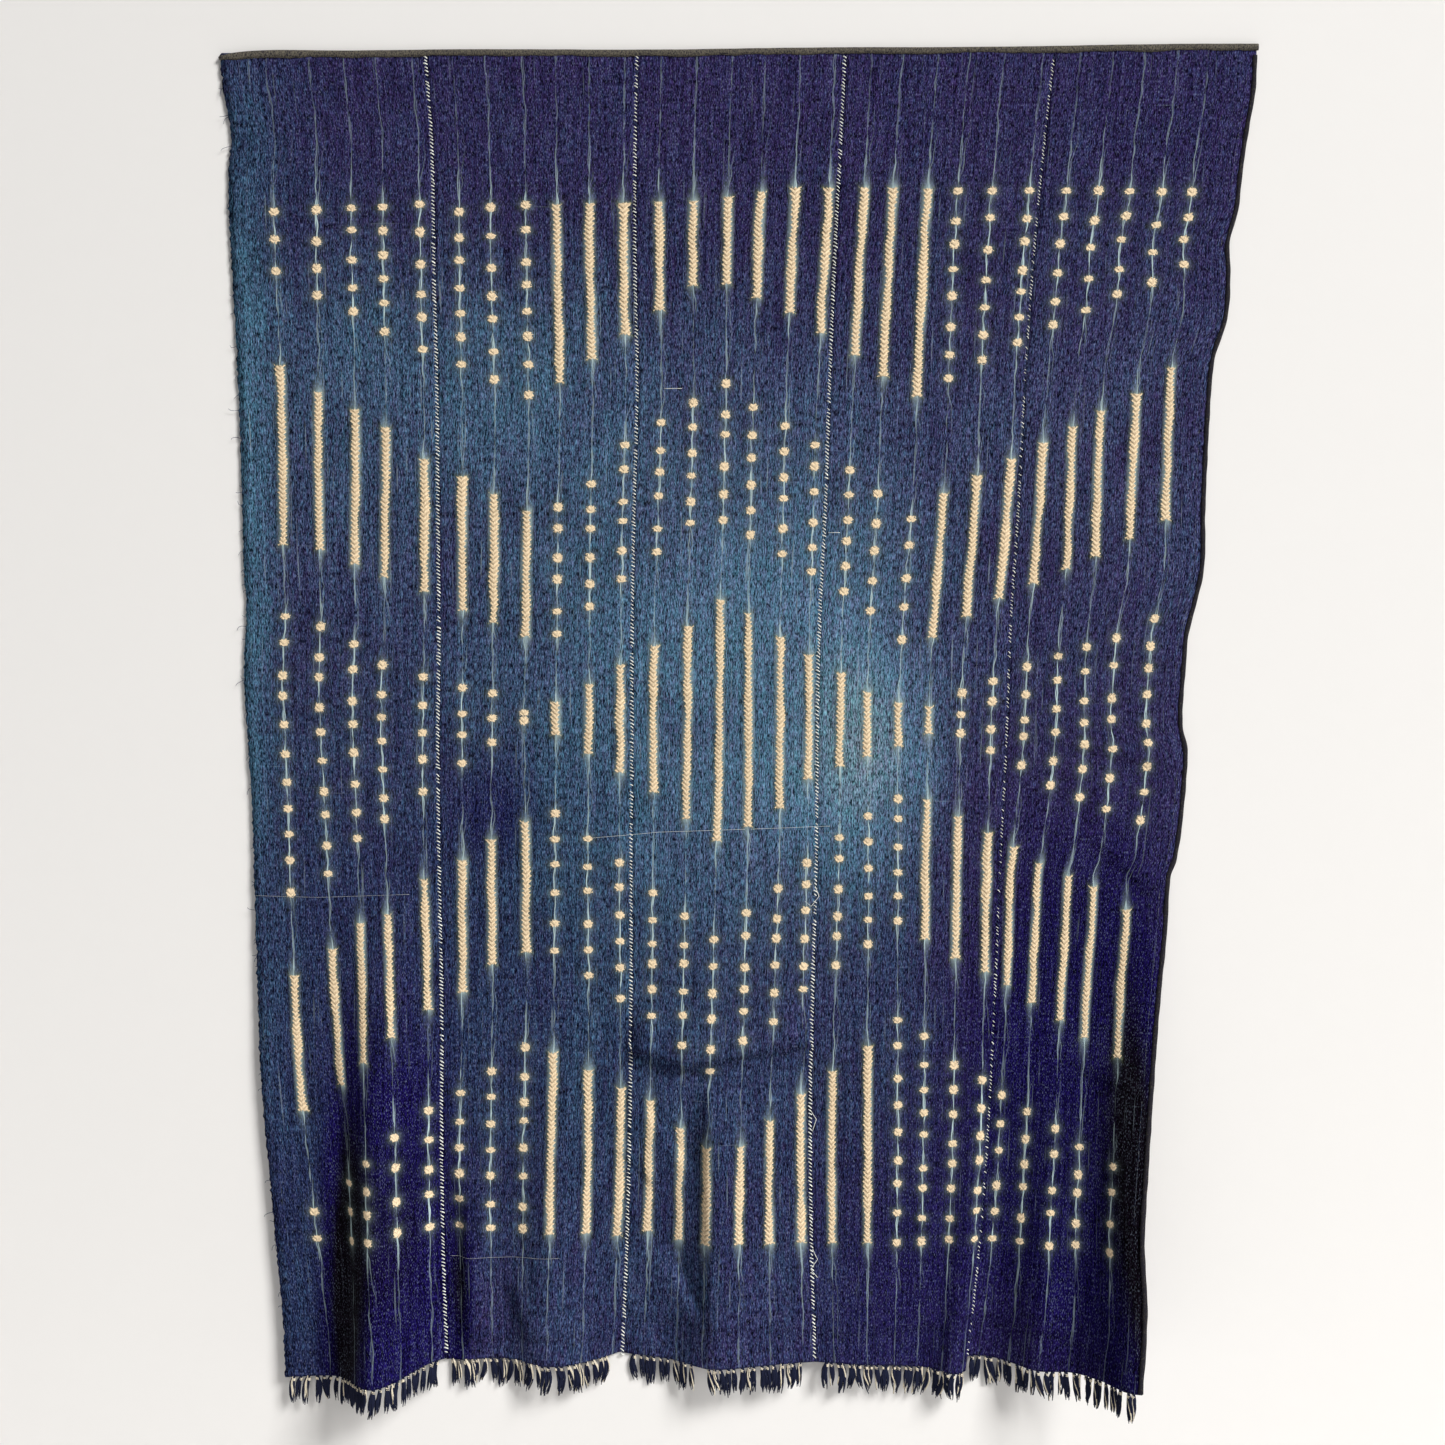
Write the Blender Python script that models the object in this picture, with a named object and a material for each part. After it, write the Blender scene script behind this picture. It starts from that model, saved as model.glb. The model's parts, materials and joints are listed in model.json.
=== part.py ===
"""Solids of a hung indigo cloth: five hand-woven strips sewn edge to edge, each with a knotted fringe.

Sizes are in millimetres. Across runs to the viewer's right from the middle of the top edge, down runs
from the top edge to the hem, and out runs from the wall to the viewer. The model itself is in metres.
"""

import math
import random
from typing import NamedTuple

import bmesh
import bpy
from mathutils import Vector

MM = 0.001
HEM_DOWN = 1308.0
SHEET_THICKNESS = 1.5
MID_SURFACE_OUT = 2.0
STRIP_CLEARANCE = 0.2

ROLL_THICKNESS = 4.0
ROLL_EDGE_THICKNESS = 1.8
ROLL_SHOULDER = 1.6
ROLL_FALL = 2.0
TOP_ROLL_HEIGHT = 7.0
SIDE_ROLL_WIDTH = 5.0

ROWS_DOWN = 40
ROWS_BELOW_ROLL = 12.0
ARC_SAMPLES = 60
SLOPE_STEP = 0.5

BACKING_GAP = 0.35
BACKING_HEIGHT = 2.2
BACKING_END_CLEARANCE = 2.0
LOCK_SEED = 11
LOCK_ROOT_STARTS = 0.26
LOCK_ROOT_SHARE = 0.46
LOCK_SHORTEST = 18.0
LOCK_LONGEST = 27.0
LOCK_SWAY = 1.5
LOCK_STAND = 1.2

INDIGO = (0.030, 0.055, 0.145)
FRINGE_CREAM = (0.62, 0.55, 0.40)
COTTON_ROUGHNESS = 0.92


class Fold(NamedTuple):
    """One soft fold: a ridge that swells out from the wall between two heights."""

    name: str
    across: float
    lean: float
    left_width: float
    right_width: float
    out: float
    starts: float
    full: float


FOLDS = (
    #    name              across  lean  left  right  out  starts  full
    Fold("left_edge_lift", -443.0, -0.09, 70.0, 70.0, 10.0, 450.0, 1500.0),
    Fold("left_ridge", -354.0, -0.01, 30.0, 35.0, 76.0, 780.0, 1450.0),
    Fold("seam_1_ripple", -276.0, 0.00, 9.0, 12.0, 8.0, 1060.0, 1400.0),
    Fold("strip_2_ridge", -192.0, 0.02, 25.0, 40.0, 22.0, 950.0, 1400.0),
    Fold("strip_3_swell", -28.0, 0.01, 30.0, 100.0, 28.0, 850.0, 1400.0),
    Fold("strip_4_swell", 130.0, 0.05, 60.0, 70.0, 8.0, 700.0, 1400.0),
    Fold("seam_4_ridge", 213.0, 0.09, 16.0, 14.0, 21.0, 1000.0, 1400.0),
    Fold("strip_5_ridge", 295.0, 0.08, 26.0, 35.0, 38.0, 900.0, 1450.0),
    Fold("corner_flare", 379.0, 0.10, 45.0, 45.0, 118.0, 760.0, 1500.0),
)


class EdgePoint(NamedTuple):
    """Where a free side edge of the cloth lies at one height."""

    down: float
    across: float


TOP_EDGE_ACROSS = (-518.0, 0.0, 518.0)
TOP_EDGE_DOWN = (2.0, 0.0, -5.0)
HEM_SHARES = (0.0, 0.25, 0.5, 0.75, 1.0)

LEFT_EDGE = (
    EdgePoint(0, -518), EdgePoint(35, -516), EdgePoint(74, -509), EdgePoint(92, -507), EdgePoint(127, -510),
    EdgePoint(210, -507), EdgePoint(278, -503), EdgePoint(422, -497), EdgePoint(514, -495),
    EdgePoint(559, -492), EdgePoint(628, -494), EdgePoint(761, -486), EdgePoint(898, -481),
    EdgePoint(1024, -476), EdgePoint(1116, -468), EdgePoint(1248, -455), EdgePoint(1308, -451),
)

RIGHT_EDGE = (
    EdgePoint(0, 517), EdgePoint(41, 515), EdgePoint(82, 508), EdgePoint(123, 502), EdgePoint(159, 498),
    EdgePoint(194, 489), EdgePoint(222, 490), EdgePoint(268, 487), EdgePoint(306, 475), EdgePoint(337, 471),
    EdgePoint(457, 465), EdgePoint(516, 464), EdgePoint(554, 456), EdgePoint(585, 448), EdgePoint(623, 445),
    EdgePoint(674, 442), EdgePoint(702, 447), EdgePoint(762, 443), EdgePoint(808, 436), EdgePoint(826, 429),
    EdgePoint(876, 425), EdgePoint(942, 416), EdgePoint(1004, 408), EdgePoint(1111, 395),
    EdgePoint(1174, 388), EdgePoint(1234, 387), EdgePoint(1308, 379),
)


class SeamStation(NamedTuple):
    """Where the four sewn seams lie at one height."""

    down: float
    seam_1: float
    seam_2: float
    seam_3: float
    seam_4: float


SEAMS = (
    #           down  seam_1 seam_2 seam_3 seam_4
    SeamStation(0, -314, -102, 106, 315),
    SeamStation(100, -307, -104, 101, 304),
    SeamStation(220, -305, -104, 95, 293),
    SeamStation(340, -302, -102, 90, 285),
    SeamStation(460, -301, -105, 86, 279),
    SeamStation(580, -300, -107, 80, 271),
    SeamStation(690, -301, -107, 78, 267),
    SeamStation(810, -300, -108, 77, 261),
    SeamStation(950, -297, -108, 73, 255),
    SeamStation(1070, -297, -109, 71, 249),
    SeamStation(1190, -296, -112, 72, 240),
    SeamStation(1308, -292, -117, 75, 226),
    SeamStation(1330, -291, -118, 76, 223),
)


class StripRow(NamedTuple):
    """One woven strip: its mesh columns, its hem level at five places across, and its fringe."""

    number: int
    columns: int
    rolled_side: bool
    hem_left: float
    hem_quarter: float
    hem_middle: float
    hem_three_quarters: float
    hem_right: float
    locks: int
    bare_left: float
    bare_right: float


STRIPS = (
    #   number columns rolled  hem: left  1/4   1/2   3/4  right locks bare: left right
    StripRow(1, 16, False, 1323, 1320, 1314, 1312, 1307, 23, 2.0, 2.0),
    StripRow(2, 12, False, 1308, 1307, 1308, 1309, 1301, 22, 2.0, 9.0),
    StripRow(3, 11, False, 1302, 1307, 1309, 1308, 1307, 23, 6.0, 7.0),
    StripRow(4, 13, False, 1307, 1310, 1312, 1315, 1317, 22, 7.0, 2.0),
    StripRow(5, 15, True, 1303, 1307, 1308, 1307, 1307, 24, 2.0, 2.0),
)


class LockSection(NamedTuple):
    """One cross-section of a fringe lock, as shares of its length and its root."""

    share_down: float
    width: float
    thickness: float


LOCK_SECTIONS = (
    #           share  width thickness
    LockSection(0.12, 1.15, 1.60),
    LockSection(0.62, 0.85, 1.15),
    LockSection(1.00, 1.05, 0.45),
)


def smooth_line(places: tuple, values: tuple, place: float) -> float:
    """Return the value at a place on a smooth curve through the given points.

    Args:
        places: Rising places of the points.
        values: The value at each place.
        place: Where the curve is read; it is held at the ends.
    """
    last = len(places) - 1
    if place <= places[0]:
        return values[0]
    if place >= places[last]:
        return values[last]
    index = 0
    while places[index + 1] < place:
        index += 1
    span = places[index + 1] - places[index]
    share = (place - places[index]) / span
    before = max(0, index - 1)
    after = min(last, index + 2)
    slope_in = (values[index + 1] - values[before]) / (places[index + 1] - places[before]) * span
    slope_out = (values[after] - values[index]) / (places[after] - places[index]) * span
    square = share * share
    cube = square * share
    return (
        (2 * cube - 3 * square + 1) * values[index]
        + (cube - 2 * square + share) * slope_in
        + (3 * square - 2 * cube) * values[index + 1]
        + (cube - square) * slope_out
    )


def ease(share: float) -> float:
    """Return a soft rise from 0 to 1."""
    held = min(1.0, max(0.0, share))
    return held * held * (3.0 - 2.0 * held)


def fold_out(across: float, down: float) -> float:
    """Return how far the folds carry the cloth out from the wall at one place."""
    total = 0.0
    for fold in FOLDS:
        ridge = fold.across + fold.lean * (HEM_DOWN - down)
        width = fold.left_width if across < ridge else fold.right_width
        growth = ease((down - fold.starts) / (fold.full - fold.starts))
        total += fold.out * growth * math.exp(-(((across - ridge) / width) ** 2))
    return total


def side_lines(number: int, down: float) -> tuple:
    """Return where the left and right sides of a strip lie at one height."""
    left_heights, left_places = zip(*LEFT_EDGE)
    right_heights, right_places = zip(*RIGHT_EDGE)
    seam_heights, *seam_places = zip(*SEAMS)
    lines = [smooth_line(left_heights, left_places, down)]
    for places in seam_places:
        lines.append(smooth_line(seam_heights, places, down))
    lines.append(smooth_line(right_heights, right_places, down))
    return lines[number - 1], lines[number]


def top_down(across: float) -> float:
    """Return the level of the top edge, which rises gently to the right."""
    return smooth_line(TOP_EDGE_ACROSS, TOP_EDGE_DOWN, across)


def hem_down(strip: StripRow, share: float) -> float:
    """Return the level of a strip's hem at a share of its width."""
    levels = (strip.hem_left, strip.hem_quarter, strip.hem_middle, strip.hem_three_quarters, strip.hem_right)
    return smooth_line(HEM_SHARES, levels, share)


def place_across(number: int, down: float, share: float) -> float:
    """Return the place across a strip that lies at a share of the folded cloth's own width."""
    left, right = side_lines(number, down)
    left += STRIP_CLEARANCE
    right -= STRIP_CLEARANCE
    places = [left + (right - left) * step / ARC_SAMPLES for step in range(ARC_SAMPLES + 1)]
    depths = [fold_out(place, down) for place in places]
    lengths = [0.0]
    for step in range(ARC_SAMPLES):
        run = places[step + 1] - places[step]
        rise = depths[step + 1] - depths[step]
        lengths.append(lengths[-1] + math.hypot(run, rise))
    target = share * lengths[-1]
    step = 0
    while step < ARC_SAMPLES - 1 and lengths[step + 1] < target:
        step += 1
    part = (target - lengths[step]) / (lengths[step + 1] - lengths[step])
    return places[step] + (places[step + 1] - places[step]) * part


def surface_point(across: float, down: float) -> Vector:
    """Return a point of the cloth's mid surface, in millimetres."""
    return Vector((across, -(MID_SURFACE_OUT + fold_out(across, down)), -down))


def facing(across: float, down: float) -> Vector:
    """Return the direction that the cloth's face looks in at one place."""
    step = SLOPE_STEP
    slope_across = (fold_out(across + step, down) - fold_out(across - step, down)) / (2 * step)
    slope_down = (fold_out(across, down + step) - fold_out(across, down - step)) / (2 * step)
    return Vector((-slope_across, -1.0, slope_down)).normalized()


def roll_thickness(inset: float, roll_width: float) -> float:
    """Return the thickness of a rolled edge at a distance in from that edge."""
    if inset >= roll_width:
        return SHEET_THICKNESS
    if inset < ROLL_SHOULDER:
        return ROLL_EDGE_THICKNESS + (ROLL_THICKNESS - ROLL_EDGE_THICKNESS) * inset / ROLL_SHOULDER
    if inset <= roll_width - ROLL_FALL:
        return ROLL_THICKNESS
    return SHEET_THICKNESS + (ROLL_THICKNESS - SHEET_THICKNESS) * (roll_width - inset) / ROLL_FALL


def row_depths() -> list:
    """Return how far below the top edge each mesh row lies, closer together over the rolled edge."""
    roll = [0.0, ROLL_SHOULDER, TOP_ROLL_HEIGHT - ROLL_FALL, TOP_ROLL_HEIGHT]
    rest = HEM_DOWN - ROWS_BELOW_ROLL
    return roll + [ROWS_BELOW_ROLL + rest * step / ROWS_DOWN for step in range(ROWS_DOWN + 1)]


def column_shares(strip: StripRow, down: float) -> list:
    """Return the shares of a strip's width at which its mesh columns lie."""
    shares = [step / strip.columns for step in range(strip.columns + 1)]
    if not strip.rolled_side:
        return shares
    left, right = side_lines(strip.number, down)
    roll = [SIDE_ROLL_WIDTH, SIDE_ROLL_WIDTH - ROLL_FALL, ROLL_SHOULDER]
    return shares[:-1] + [1.0 - inset / (right - left) for inset in roll] + [1.0]


def close_grid(mesh: bmesh.types.BMesh, front: list, back: list) -> None:
    """Join a front and a back grid of vertices into one closed sheet.

    Args:
        mesh: The mesh that takes the faces.
        front: Rows of vertices on the viewer's side, top row first.
        back: The matching rows on the wall's side.
    """
    rows = len(front)
    columns = len(front[0])
    for row in range(rows - 1):
        for column in range(columns - 1):
            mesh.faces.new([front[row][column], front[row + 1][column],
                            front[row + 1][column + 1], front[row][column + 1]])
            mesh.faces.new([back[row][column], back[row][column + 1],
                            back[row + 1][column + 1], back[row + 1][column]])
    for row in range(rows - 1):
        mesh.faces.new([front[row][0], back[row][0], back[row + 1][0], front[row + 1][0]])
        mesh.faces.new([front[row][-1], front[row + 1][-1], back[row + 1][-1], back[row][-1]])
    for column in range(columns - 1):
        mesh.faces.new([front[0][column], front[0][column + 1], back[0][column + 1], back[0][column]])
        mesh.faces.new([front[-1][column], back[-1][column], back[-1][column + 1], front[-1][column + 1]])


def finish_object(mesh: bmesh.types.BMesh, name: str, colour: tuple) -> bpy.types.Object:
    """Turn a closed mesh into a named object with its own plain material."""
    bmesh.ops.recalc_face_normals(mesh, faces=mesh.faces)
    data = bpy.data.meshes.new(name)
    mesh.to_mesh(data)
    mesh.free()
    material = bpy.data.materials.new(name + "_cotton")
    material.use_nodes = True
    shader = material.node_tree.nodes["Principled BSDF"]
    shader.inputs["Base Color"].default_value = (*colour, 1.0)
    shader.inputs["Roughness"].default_value = COTTON_ROUGHNESS
    data.materials.append(material)
    part = bpy.data.objects.new(name, data)
    bpy.context.scene.collection.objects.link(part)
    return part


def build_strip(strip: StripRow) -> bpy.types.Object:
    """Build one woven strip as a closed thin sheet on the cloth's folds."""
    mesh = bmesh.new()
    front = []
    back = []
    for depth in row_depths():
        left, right = side_lines(strip.number, depth)
        front_row = []
        back_row = []
        for share in column_shares(strip, depth):
            top = top_down(left + (right - left) * share)
            down = top + depth * (hem_down(strip, share) - top) / HEM_DOWN
            across = place_across(strip.number, down, share)
            thickness = roll_thickness(depth, TOP_ROLL_HEIGHT)
            if strip.rolled_side:
                inset = (1.0 - share) * (right - left)
                thickness = max(thickness, roll_thickness(inset, SIDE_ROLL_WIDTH))
            middle = surface_point(across, down)
            offset = facing(across, down) * thickness / 2.0
            front_row.append(mesh.verts.new((middle + offset) * MM))
            back_row.append(mesh.verts.new((middle - offset) * MM))
        front.append(front_row)
        back.append(back_row)
    close_grid(mesh, front, back)
    return finish_object(mesh, f"strip_{strip.number}", INDIGO)


def fringe_stations(strip: StripRow) -> list:
    """Return the ends of each lock's root along the hem, as shares of the strip's width."""
    left, right = side_lines(strip.number, HEM_DOWN)
    width = right - left
    first = (BACKING_END_CLEARANCE + strip.bare_left) / width
    last = 1.0 - (BACKING_END_CLEARANCE + strip.bare_right) / width
    pitch = (last - first) / strip.locks
    roots = []
    for lock in range(strip.locks):
        start = first + pitch * (lock + LOCK_ROOT_STARTS)
        roots.append((start, start + pitch * LOCK_ROOT_SHARE))
    return roots


def hem_frame(strip: StripRow, share: float, below: float) -> tuple:
    """Return a point below the hem with the directions along the hem and towards the viewer."""
    down = hem_down(strip, share)
    across = place_across(strip.number, down, share)
    outward = facing(across, down)
    outward.z = 0.0
    outward.normalize()
    along = Vector((-outward.y, outward.x, 0.0))
    point = surface_point(across, down)
    point.z -= below
    return point, along, outward


def build_fringe(strip: StripRow) -> bpy.types.Object:
    """Build one strip's fringe: a narrow backing with a row of four-sided knotted locks below it."""
    mesh = bmesh.new()
    draw = random.Random(LOCK_SEED + strip.number)
    roots = fringe_stations(strip)
    left, right = side_lines(strip.number, HEM_DOWN)
    end = BACKING_END_CLEARANCE / (right - left)
    stations = [end]
    for start, stop in roots:
        stations.extend((start, stop))
    stations.append(1.0 - end)

    columns = []
    for share in stations:
        column = []
        for below in (BACKING_GAP, BACKING_GAP + BACKING_HEIGHT):
            point, _, outward = hem_frame(strip, share, below)
            for side in (0.5, -0.5):
                column.append(mesh.verts.new((point + outward * SHEET_THICKNESS * side) * MM))
        columns.append(column)

    mesh.faces.new([columns[0][0], columns[0][1], columns[0][3], columns[0][2]])
    mesh.faces.new([columns[-1][0], columns[-1][2], columns[-1][3], columns[-1][1]])
    for index in range(len(columns) - 1):
        here = columns[index]
        there = columns[index + 1]
        mesh.faces.new([here[0], here[2], there[2], there[0]])
        mesh.faces.new([here[1], there[1], there[3], here[3]])
        mesh.faces.new([here[0], there[0], there[1], here[1]])
        if index % 2 == 0:
            mesh.faces.new([here[2], here[3], there[3], there[2]])

    for lock, (start, stop) in enumerate(roots):
        before = columns[1 + 2 * lock]
        after = columns[2 + 2 * lock]
        ring = [before[2], after[2], after[3], before[3]]
        bottom = BACKING_GAP + BACKING_HEIGHT
        point, along, outward = hem_frame(strip, (start + stop) / 2.0, bottom)
        root_width = (after[2].co - before[2].co).length / MM
        length = draw.uniform(LOCK_SHORTEST, LOCK_LONGEST)
        sway = draw.uniform(-LOCK_SWAY, LOCK_SWAY)
        stand = draw.uniform(0.0, LOCK_STAND)
        for section in LOCK_SECTIONS:
            centre = point + along * sway * section.share_down + outward * stand * section.share_down
            centre.z -= length * section.share_down
            half_width = along * root_width * section.width / 2.0
            half_depth = outward * SHEET_THICKNESS * section.thickness / 2.0
            next_ring = [
                mesh.verts.new((centre - half_width + half_depth) * MM),
                mesh.verts.new((centre + half_width + half_depth) * MM),
                mesh.verts.new((centre + half_width - half_depth) * MM),
                mesh.verts.new((centre - half_width - half_depth) * MM),
            ]
            for corner in range(4):
                following = (corner + 1) % 4
                mesh.faces.new([ring[corner], next_ring[corner], next_ring[following], ring[following]])
            ring = next_ring
        mesh.faces.new(ring)
    return finish_object(mesh, f"fringe_{strip.number}", FRINGE_CREAM)


def clear_scene() -> None:
    """Remove whatever the file opened with."""
    for leftover in list(bpy.data.objects):
        bpy.data.objects.remove(leftover)


def main() -> None:
    """Build the five strips and their five fringes."""
    clear_scene()
    for strip in STRIPS:
        build_strip(strip)
        build_fringe(strip)


if __name__ == "__main__":
    main()
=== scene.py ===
"""Looks of a hung indigo cloth: five hand-woven strips sewn edge to edge, with a knotted fringe.

Tables hold millimetres. Across runs to the viewer's right from the middle of the top edge, down runs
from the top edge to the hem, and out runs from the wall to the viewer. Meshes are in metres.
"""

import json
import logging
import math
import random
from dataclasses import dataclass, field
from enum import Enum
from typing import NamedTuple

import bpy
import numpy as np
from mathutils import Matrix, Vector

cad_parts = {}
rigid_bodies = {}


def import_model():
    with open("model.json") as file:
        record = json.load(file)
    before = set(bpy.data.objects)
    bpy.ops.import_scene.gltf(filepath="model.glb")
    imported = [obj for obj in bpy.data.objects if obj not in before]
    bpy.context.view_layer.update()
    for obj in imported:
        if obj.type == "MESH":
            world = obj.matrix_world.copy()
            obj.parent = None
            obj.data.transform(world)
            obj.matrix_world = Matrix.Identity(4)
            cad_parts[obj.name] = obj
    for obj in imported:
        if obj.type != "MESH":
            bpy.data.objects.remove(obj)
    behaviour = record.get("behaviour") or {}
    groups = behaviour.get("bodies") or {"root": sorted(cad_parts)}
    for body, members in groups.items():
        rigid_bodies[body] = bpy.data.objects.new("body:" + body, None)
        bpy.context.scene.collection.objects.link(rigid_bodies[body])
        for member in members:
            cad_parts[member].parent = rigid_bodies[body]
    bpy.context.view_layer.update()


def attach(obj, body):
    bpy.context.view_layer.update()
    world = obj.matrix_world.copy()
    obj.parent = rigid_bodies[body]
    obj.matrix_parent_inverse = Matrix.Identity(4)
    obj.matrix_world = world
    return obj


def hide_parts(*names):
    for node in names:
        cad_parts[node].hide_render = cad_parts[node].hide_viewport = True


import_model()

LOG = logging.getLogger("indigo_cloth")
BODY = "root"
MM = 0.001

PICTURE_PIXELS = 1445.0
MM_PER_PIXEL = 1.0
PICTURE_CENTRE_ACROSS = -16.5
PICTURE_CENTRE_DOWN = 672.5
VIEW_DISTANCE = 1750.0

HEM_DOWN = 1308.0
FLAT_STRIP_WIDTH = 207.0
CHART_WIDTH = 200.0
MID_SURFACE_OUT = 2.0
SHEET_THICKNESS = 1.0
LEAST_OUT = 1.0
SEAM_NUMBERS = (1, 2, 3, 4)
FULL_TURN = 6.283


class Fold(NamedTuple):
    """One soft fold: a ridge that swells out from the wall between two heights."""

    name: str
    across: float
    lean: float
    left_width: float
    right_width: float
    out: float
    starts: float
    full: float


FOLDS = (
    #    name              across  lean  left  right  out  starts  full
    Fold("left_edge_lift", -443.0, -0.09, 70.0, 70.0, 10.0, 450.0, 1500.0),
    Fold("left_ridge", -354.0, -0.01, 30.0, 35.0, 76.0, 780.0, 1450.0),
    Fold("seam_1_ripple", -276.0, 0.00, 9.0, 12.0, 8.0, 1060.0, 1400.0),
    Fold("strip_2_ridge", -192.0, 0.02, 25.0, 40.0, 22.0, 950.0, 1400.0),
    Fold("strip_3_swell", -28.0, 0.01, 30.0, 100.0, 28.0, 850.0, 1400.0),
    Fold("strip_4_swell", 130.0, 0.05, 60.0, 70.0, 8.0, 700.0, 1400.0),
    Fold("seam_4_ridge", 213.0, 0.09, 16.0, 14.0, 21.0, 1000.0, 1400.0),
    Fold("strip_5_ridge", 295.0, 0.08, 26.0, 35.0, 38.0, 900.0, 1450.0),
    Fold("corner_flare", 379.0, 0.10, 45.0, 45.0, 118.0, 760.0, 1500.0),
)


class Crease(NamedTuple):
    """One soft crease between two places: a ridge or trough, a step, or both."""

    name: str
    from_across: float
    from_down: float
    to_across: float
    to_down: float
    half_width: float
    ridge: float
    step: float
    reach: float


CREASES = (
    #      name                  from: across down  to: across down  half ridge step reach
    Crease("seam_2_ledge", -108.0, 999.0, -47.0, 1016.0, 3.0, 3.5, -15.0, 34.0),
    Crease("strip_3_shelf", -44.0, 1014.0, 66.0, 996.0, 5.0, 1.6, -9.0, 46.0),
    Crease("strip_3_nick", -42.0, 1032.0, 11.0, 1028.0, 6.0, -9.5, -3.0, 22.0),
    Crease("strip_3_upright", -34.0, 1016.0, -31.0, 1290.0, 5.0, 1.2, -5.0, 30.0),
    Crease("strip_3_high_slant", -84.0, 1060.0, -47.0, 1112.0, 5.0, -7.5, 5.0, 24.0),
    Crease("strip_3_slant", -72.0, 1196.0, -40.0, 1250.0, 6.0, -8.0, 5.0, 28.0),
    Crease("seam_2_pucker", -122.0, 1108.0, -92.0, 1136.0, 6.0, -7.0, -3.0, 20.0),
    Crease("strip_2_hem_curl", -233.0, 1236.0, -216.0, 1284.0, 6.0, -6.0, -7.0, 22.0),
    Crease("strip_2_hem_turn", -212.0, 1287.0, -114.0, 1301.0, 4.5, -4.5, 3.5, 20.0),
    Crease("seam_1_shadow", -280.0, 1146.0, -272.0, 1300.0, 8.0, -3.0, -9.0, 24.0),
    Crease("right_shelf_high", 300.0, 600.0, 440.0, 612.0, 6.0, 1.2, -2.2, 24.0),
    Crease("right_shelf_low", 296.0, 690.0, 440.0, 716.0, 7.0, 1.5, -2.6, 28.0),
    Crease("right_shelf_third", 330.0, 655.0, 440.0, 662.0, 5.0, -1.4, 1.0, 20.0),
    Crease("right_slant", 352.0, 790.0, 424.0, 850.0, 7.0, 1.6, -3.0, 26.0),
    Crease("right_low_slant", 330.0, 1010.0, 392.0, 1040.0, 7.0, 1.2, -2.4, 26.0),
    Crease("left_shelf", -470.0, 655.0, -300.0, 668.0, 7.0, 0.8, -1.8, 26.0),
    Crease("middle_shelf", -280.0, 700.0, -60.0, 672.0, 6.0, 0.7, -1.4, 22.0),
    Crease("middle_upper_crease", -96.0, 650.0, 80.0, 652.0, 3.2, -2.2, -0.8, 18.0),
    Crease("middle_lower_crease", -90.0, 672.0, 70.0, 678.0, 3.2, -2.2, 1.0, 18.0),
    Crease("middle_third_crease", -60.0, 700.0, 50.0, 696.0, 4.0, -1.8, -0.8, 18.0),
    Crease("hem_wave_left", -436.0, 1262.0, -300.0, 1250.0, 8.0, 1.6, -2.2, 26.0),
    Crease("hem_wave_left_low", -300.0, 1286.0, -180.0, 1284.0, 6.0, 1.6, -2.0, 20.0),
    Crease("hem_wave_middle", -110.0, 1262.0, 76.0, 1272.0, 7.0, 1.8, -2.6, 24.0),
    Crease("hem_wave_middle_high", -90.0, 1244.0, 30.0, 1236.0, 6.0, 1.2, -1.6, 20.0),
    Crease("hem_wave_strip_4", 84.0, 1276.0, 220.0, 1270.0, 7.0, 1.6, -2.4, 24.0),
    Crease("hem_wave_right", 236.0, 1262.0, 372.0, 1276.0, 7.0, 2.0, -2.6, 24.0),
    Crease("strip_4_upright", 205.0, 1130.0, 198.0, 1290.0, 9.0, -1.5, 3.0, 24.0),
    Crease("top_left_pull", -470.0, 20.0, -420.0, 190.0, 12.0, 0.7, 0.0, 20.0),
    Crease("left_flank_first", -428.0, 900.0, -404.0, 1240.0, 8.0, 2.0, 0.0, 24.0),
    Crease("left_flank_second", -404.0, 1010.0, -380.0, 1290.0, 7.0, -2.6, 0.0, 24.0),
    Crease("strip_1_hem_slant_low", -338.0, 1318.0, -300.0, 1268.0, 3.0, 2.0, 0.0, 20.0),
    Crease("strip_1_hem_slant_high", -332.0, 1290.0, -306.0, 1250.0, 3.0, 1.6, 0.0, 20.0),
    Crease("right_hem_upright", 374.0, 1150.0, 366.0, 1330.0, 3.5, 3.2, 0.0, 20.0),
    Crease("right_hem_upright_left", 352.0, 1100.0, 350.0, 1330.0, 4.5, -3.0, 0.0, 20.0),
    Crease("strip_1_hem_slant", -330.0, 1190.0, -292.0, 1290.0, 8.0, -2.6, 0.0, 22.0),
)


class EdgePoint(NamedTuple):
    """Where a free side edge of the cloth lies at one height."""

    down: float
    across: float


LEFT_EDGE = (
    EdgePoint(0, -518), EdgePoint(35, -516), EdgePoint(74, -509), EdgePoint(92, -507), EdgePoint(127, -510),
    EdgePoint(210, -507), EdgePoint(278, -503), EdgePoint(422, -497), EdgePoint(514, -495),
    EdgePoint(559, -492), EdgePoint(628, -494), EdgePoint(761, -486), EdgePoint(898, -481),
    EdgePoint(1024, -476), EdgePoint(1116, -468), EdgePoint(1248, -455), EdgePoint(1308, -451),
)

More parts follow.
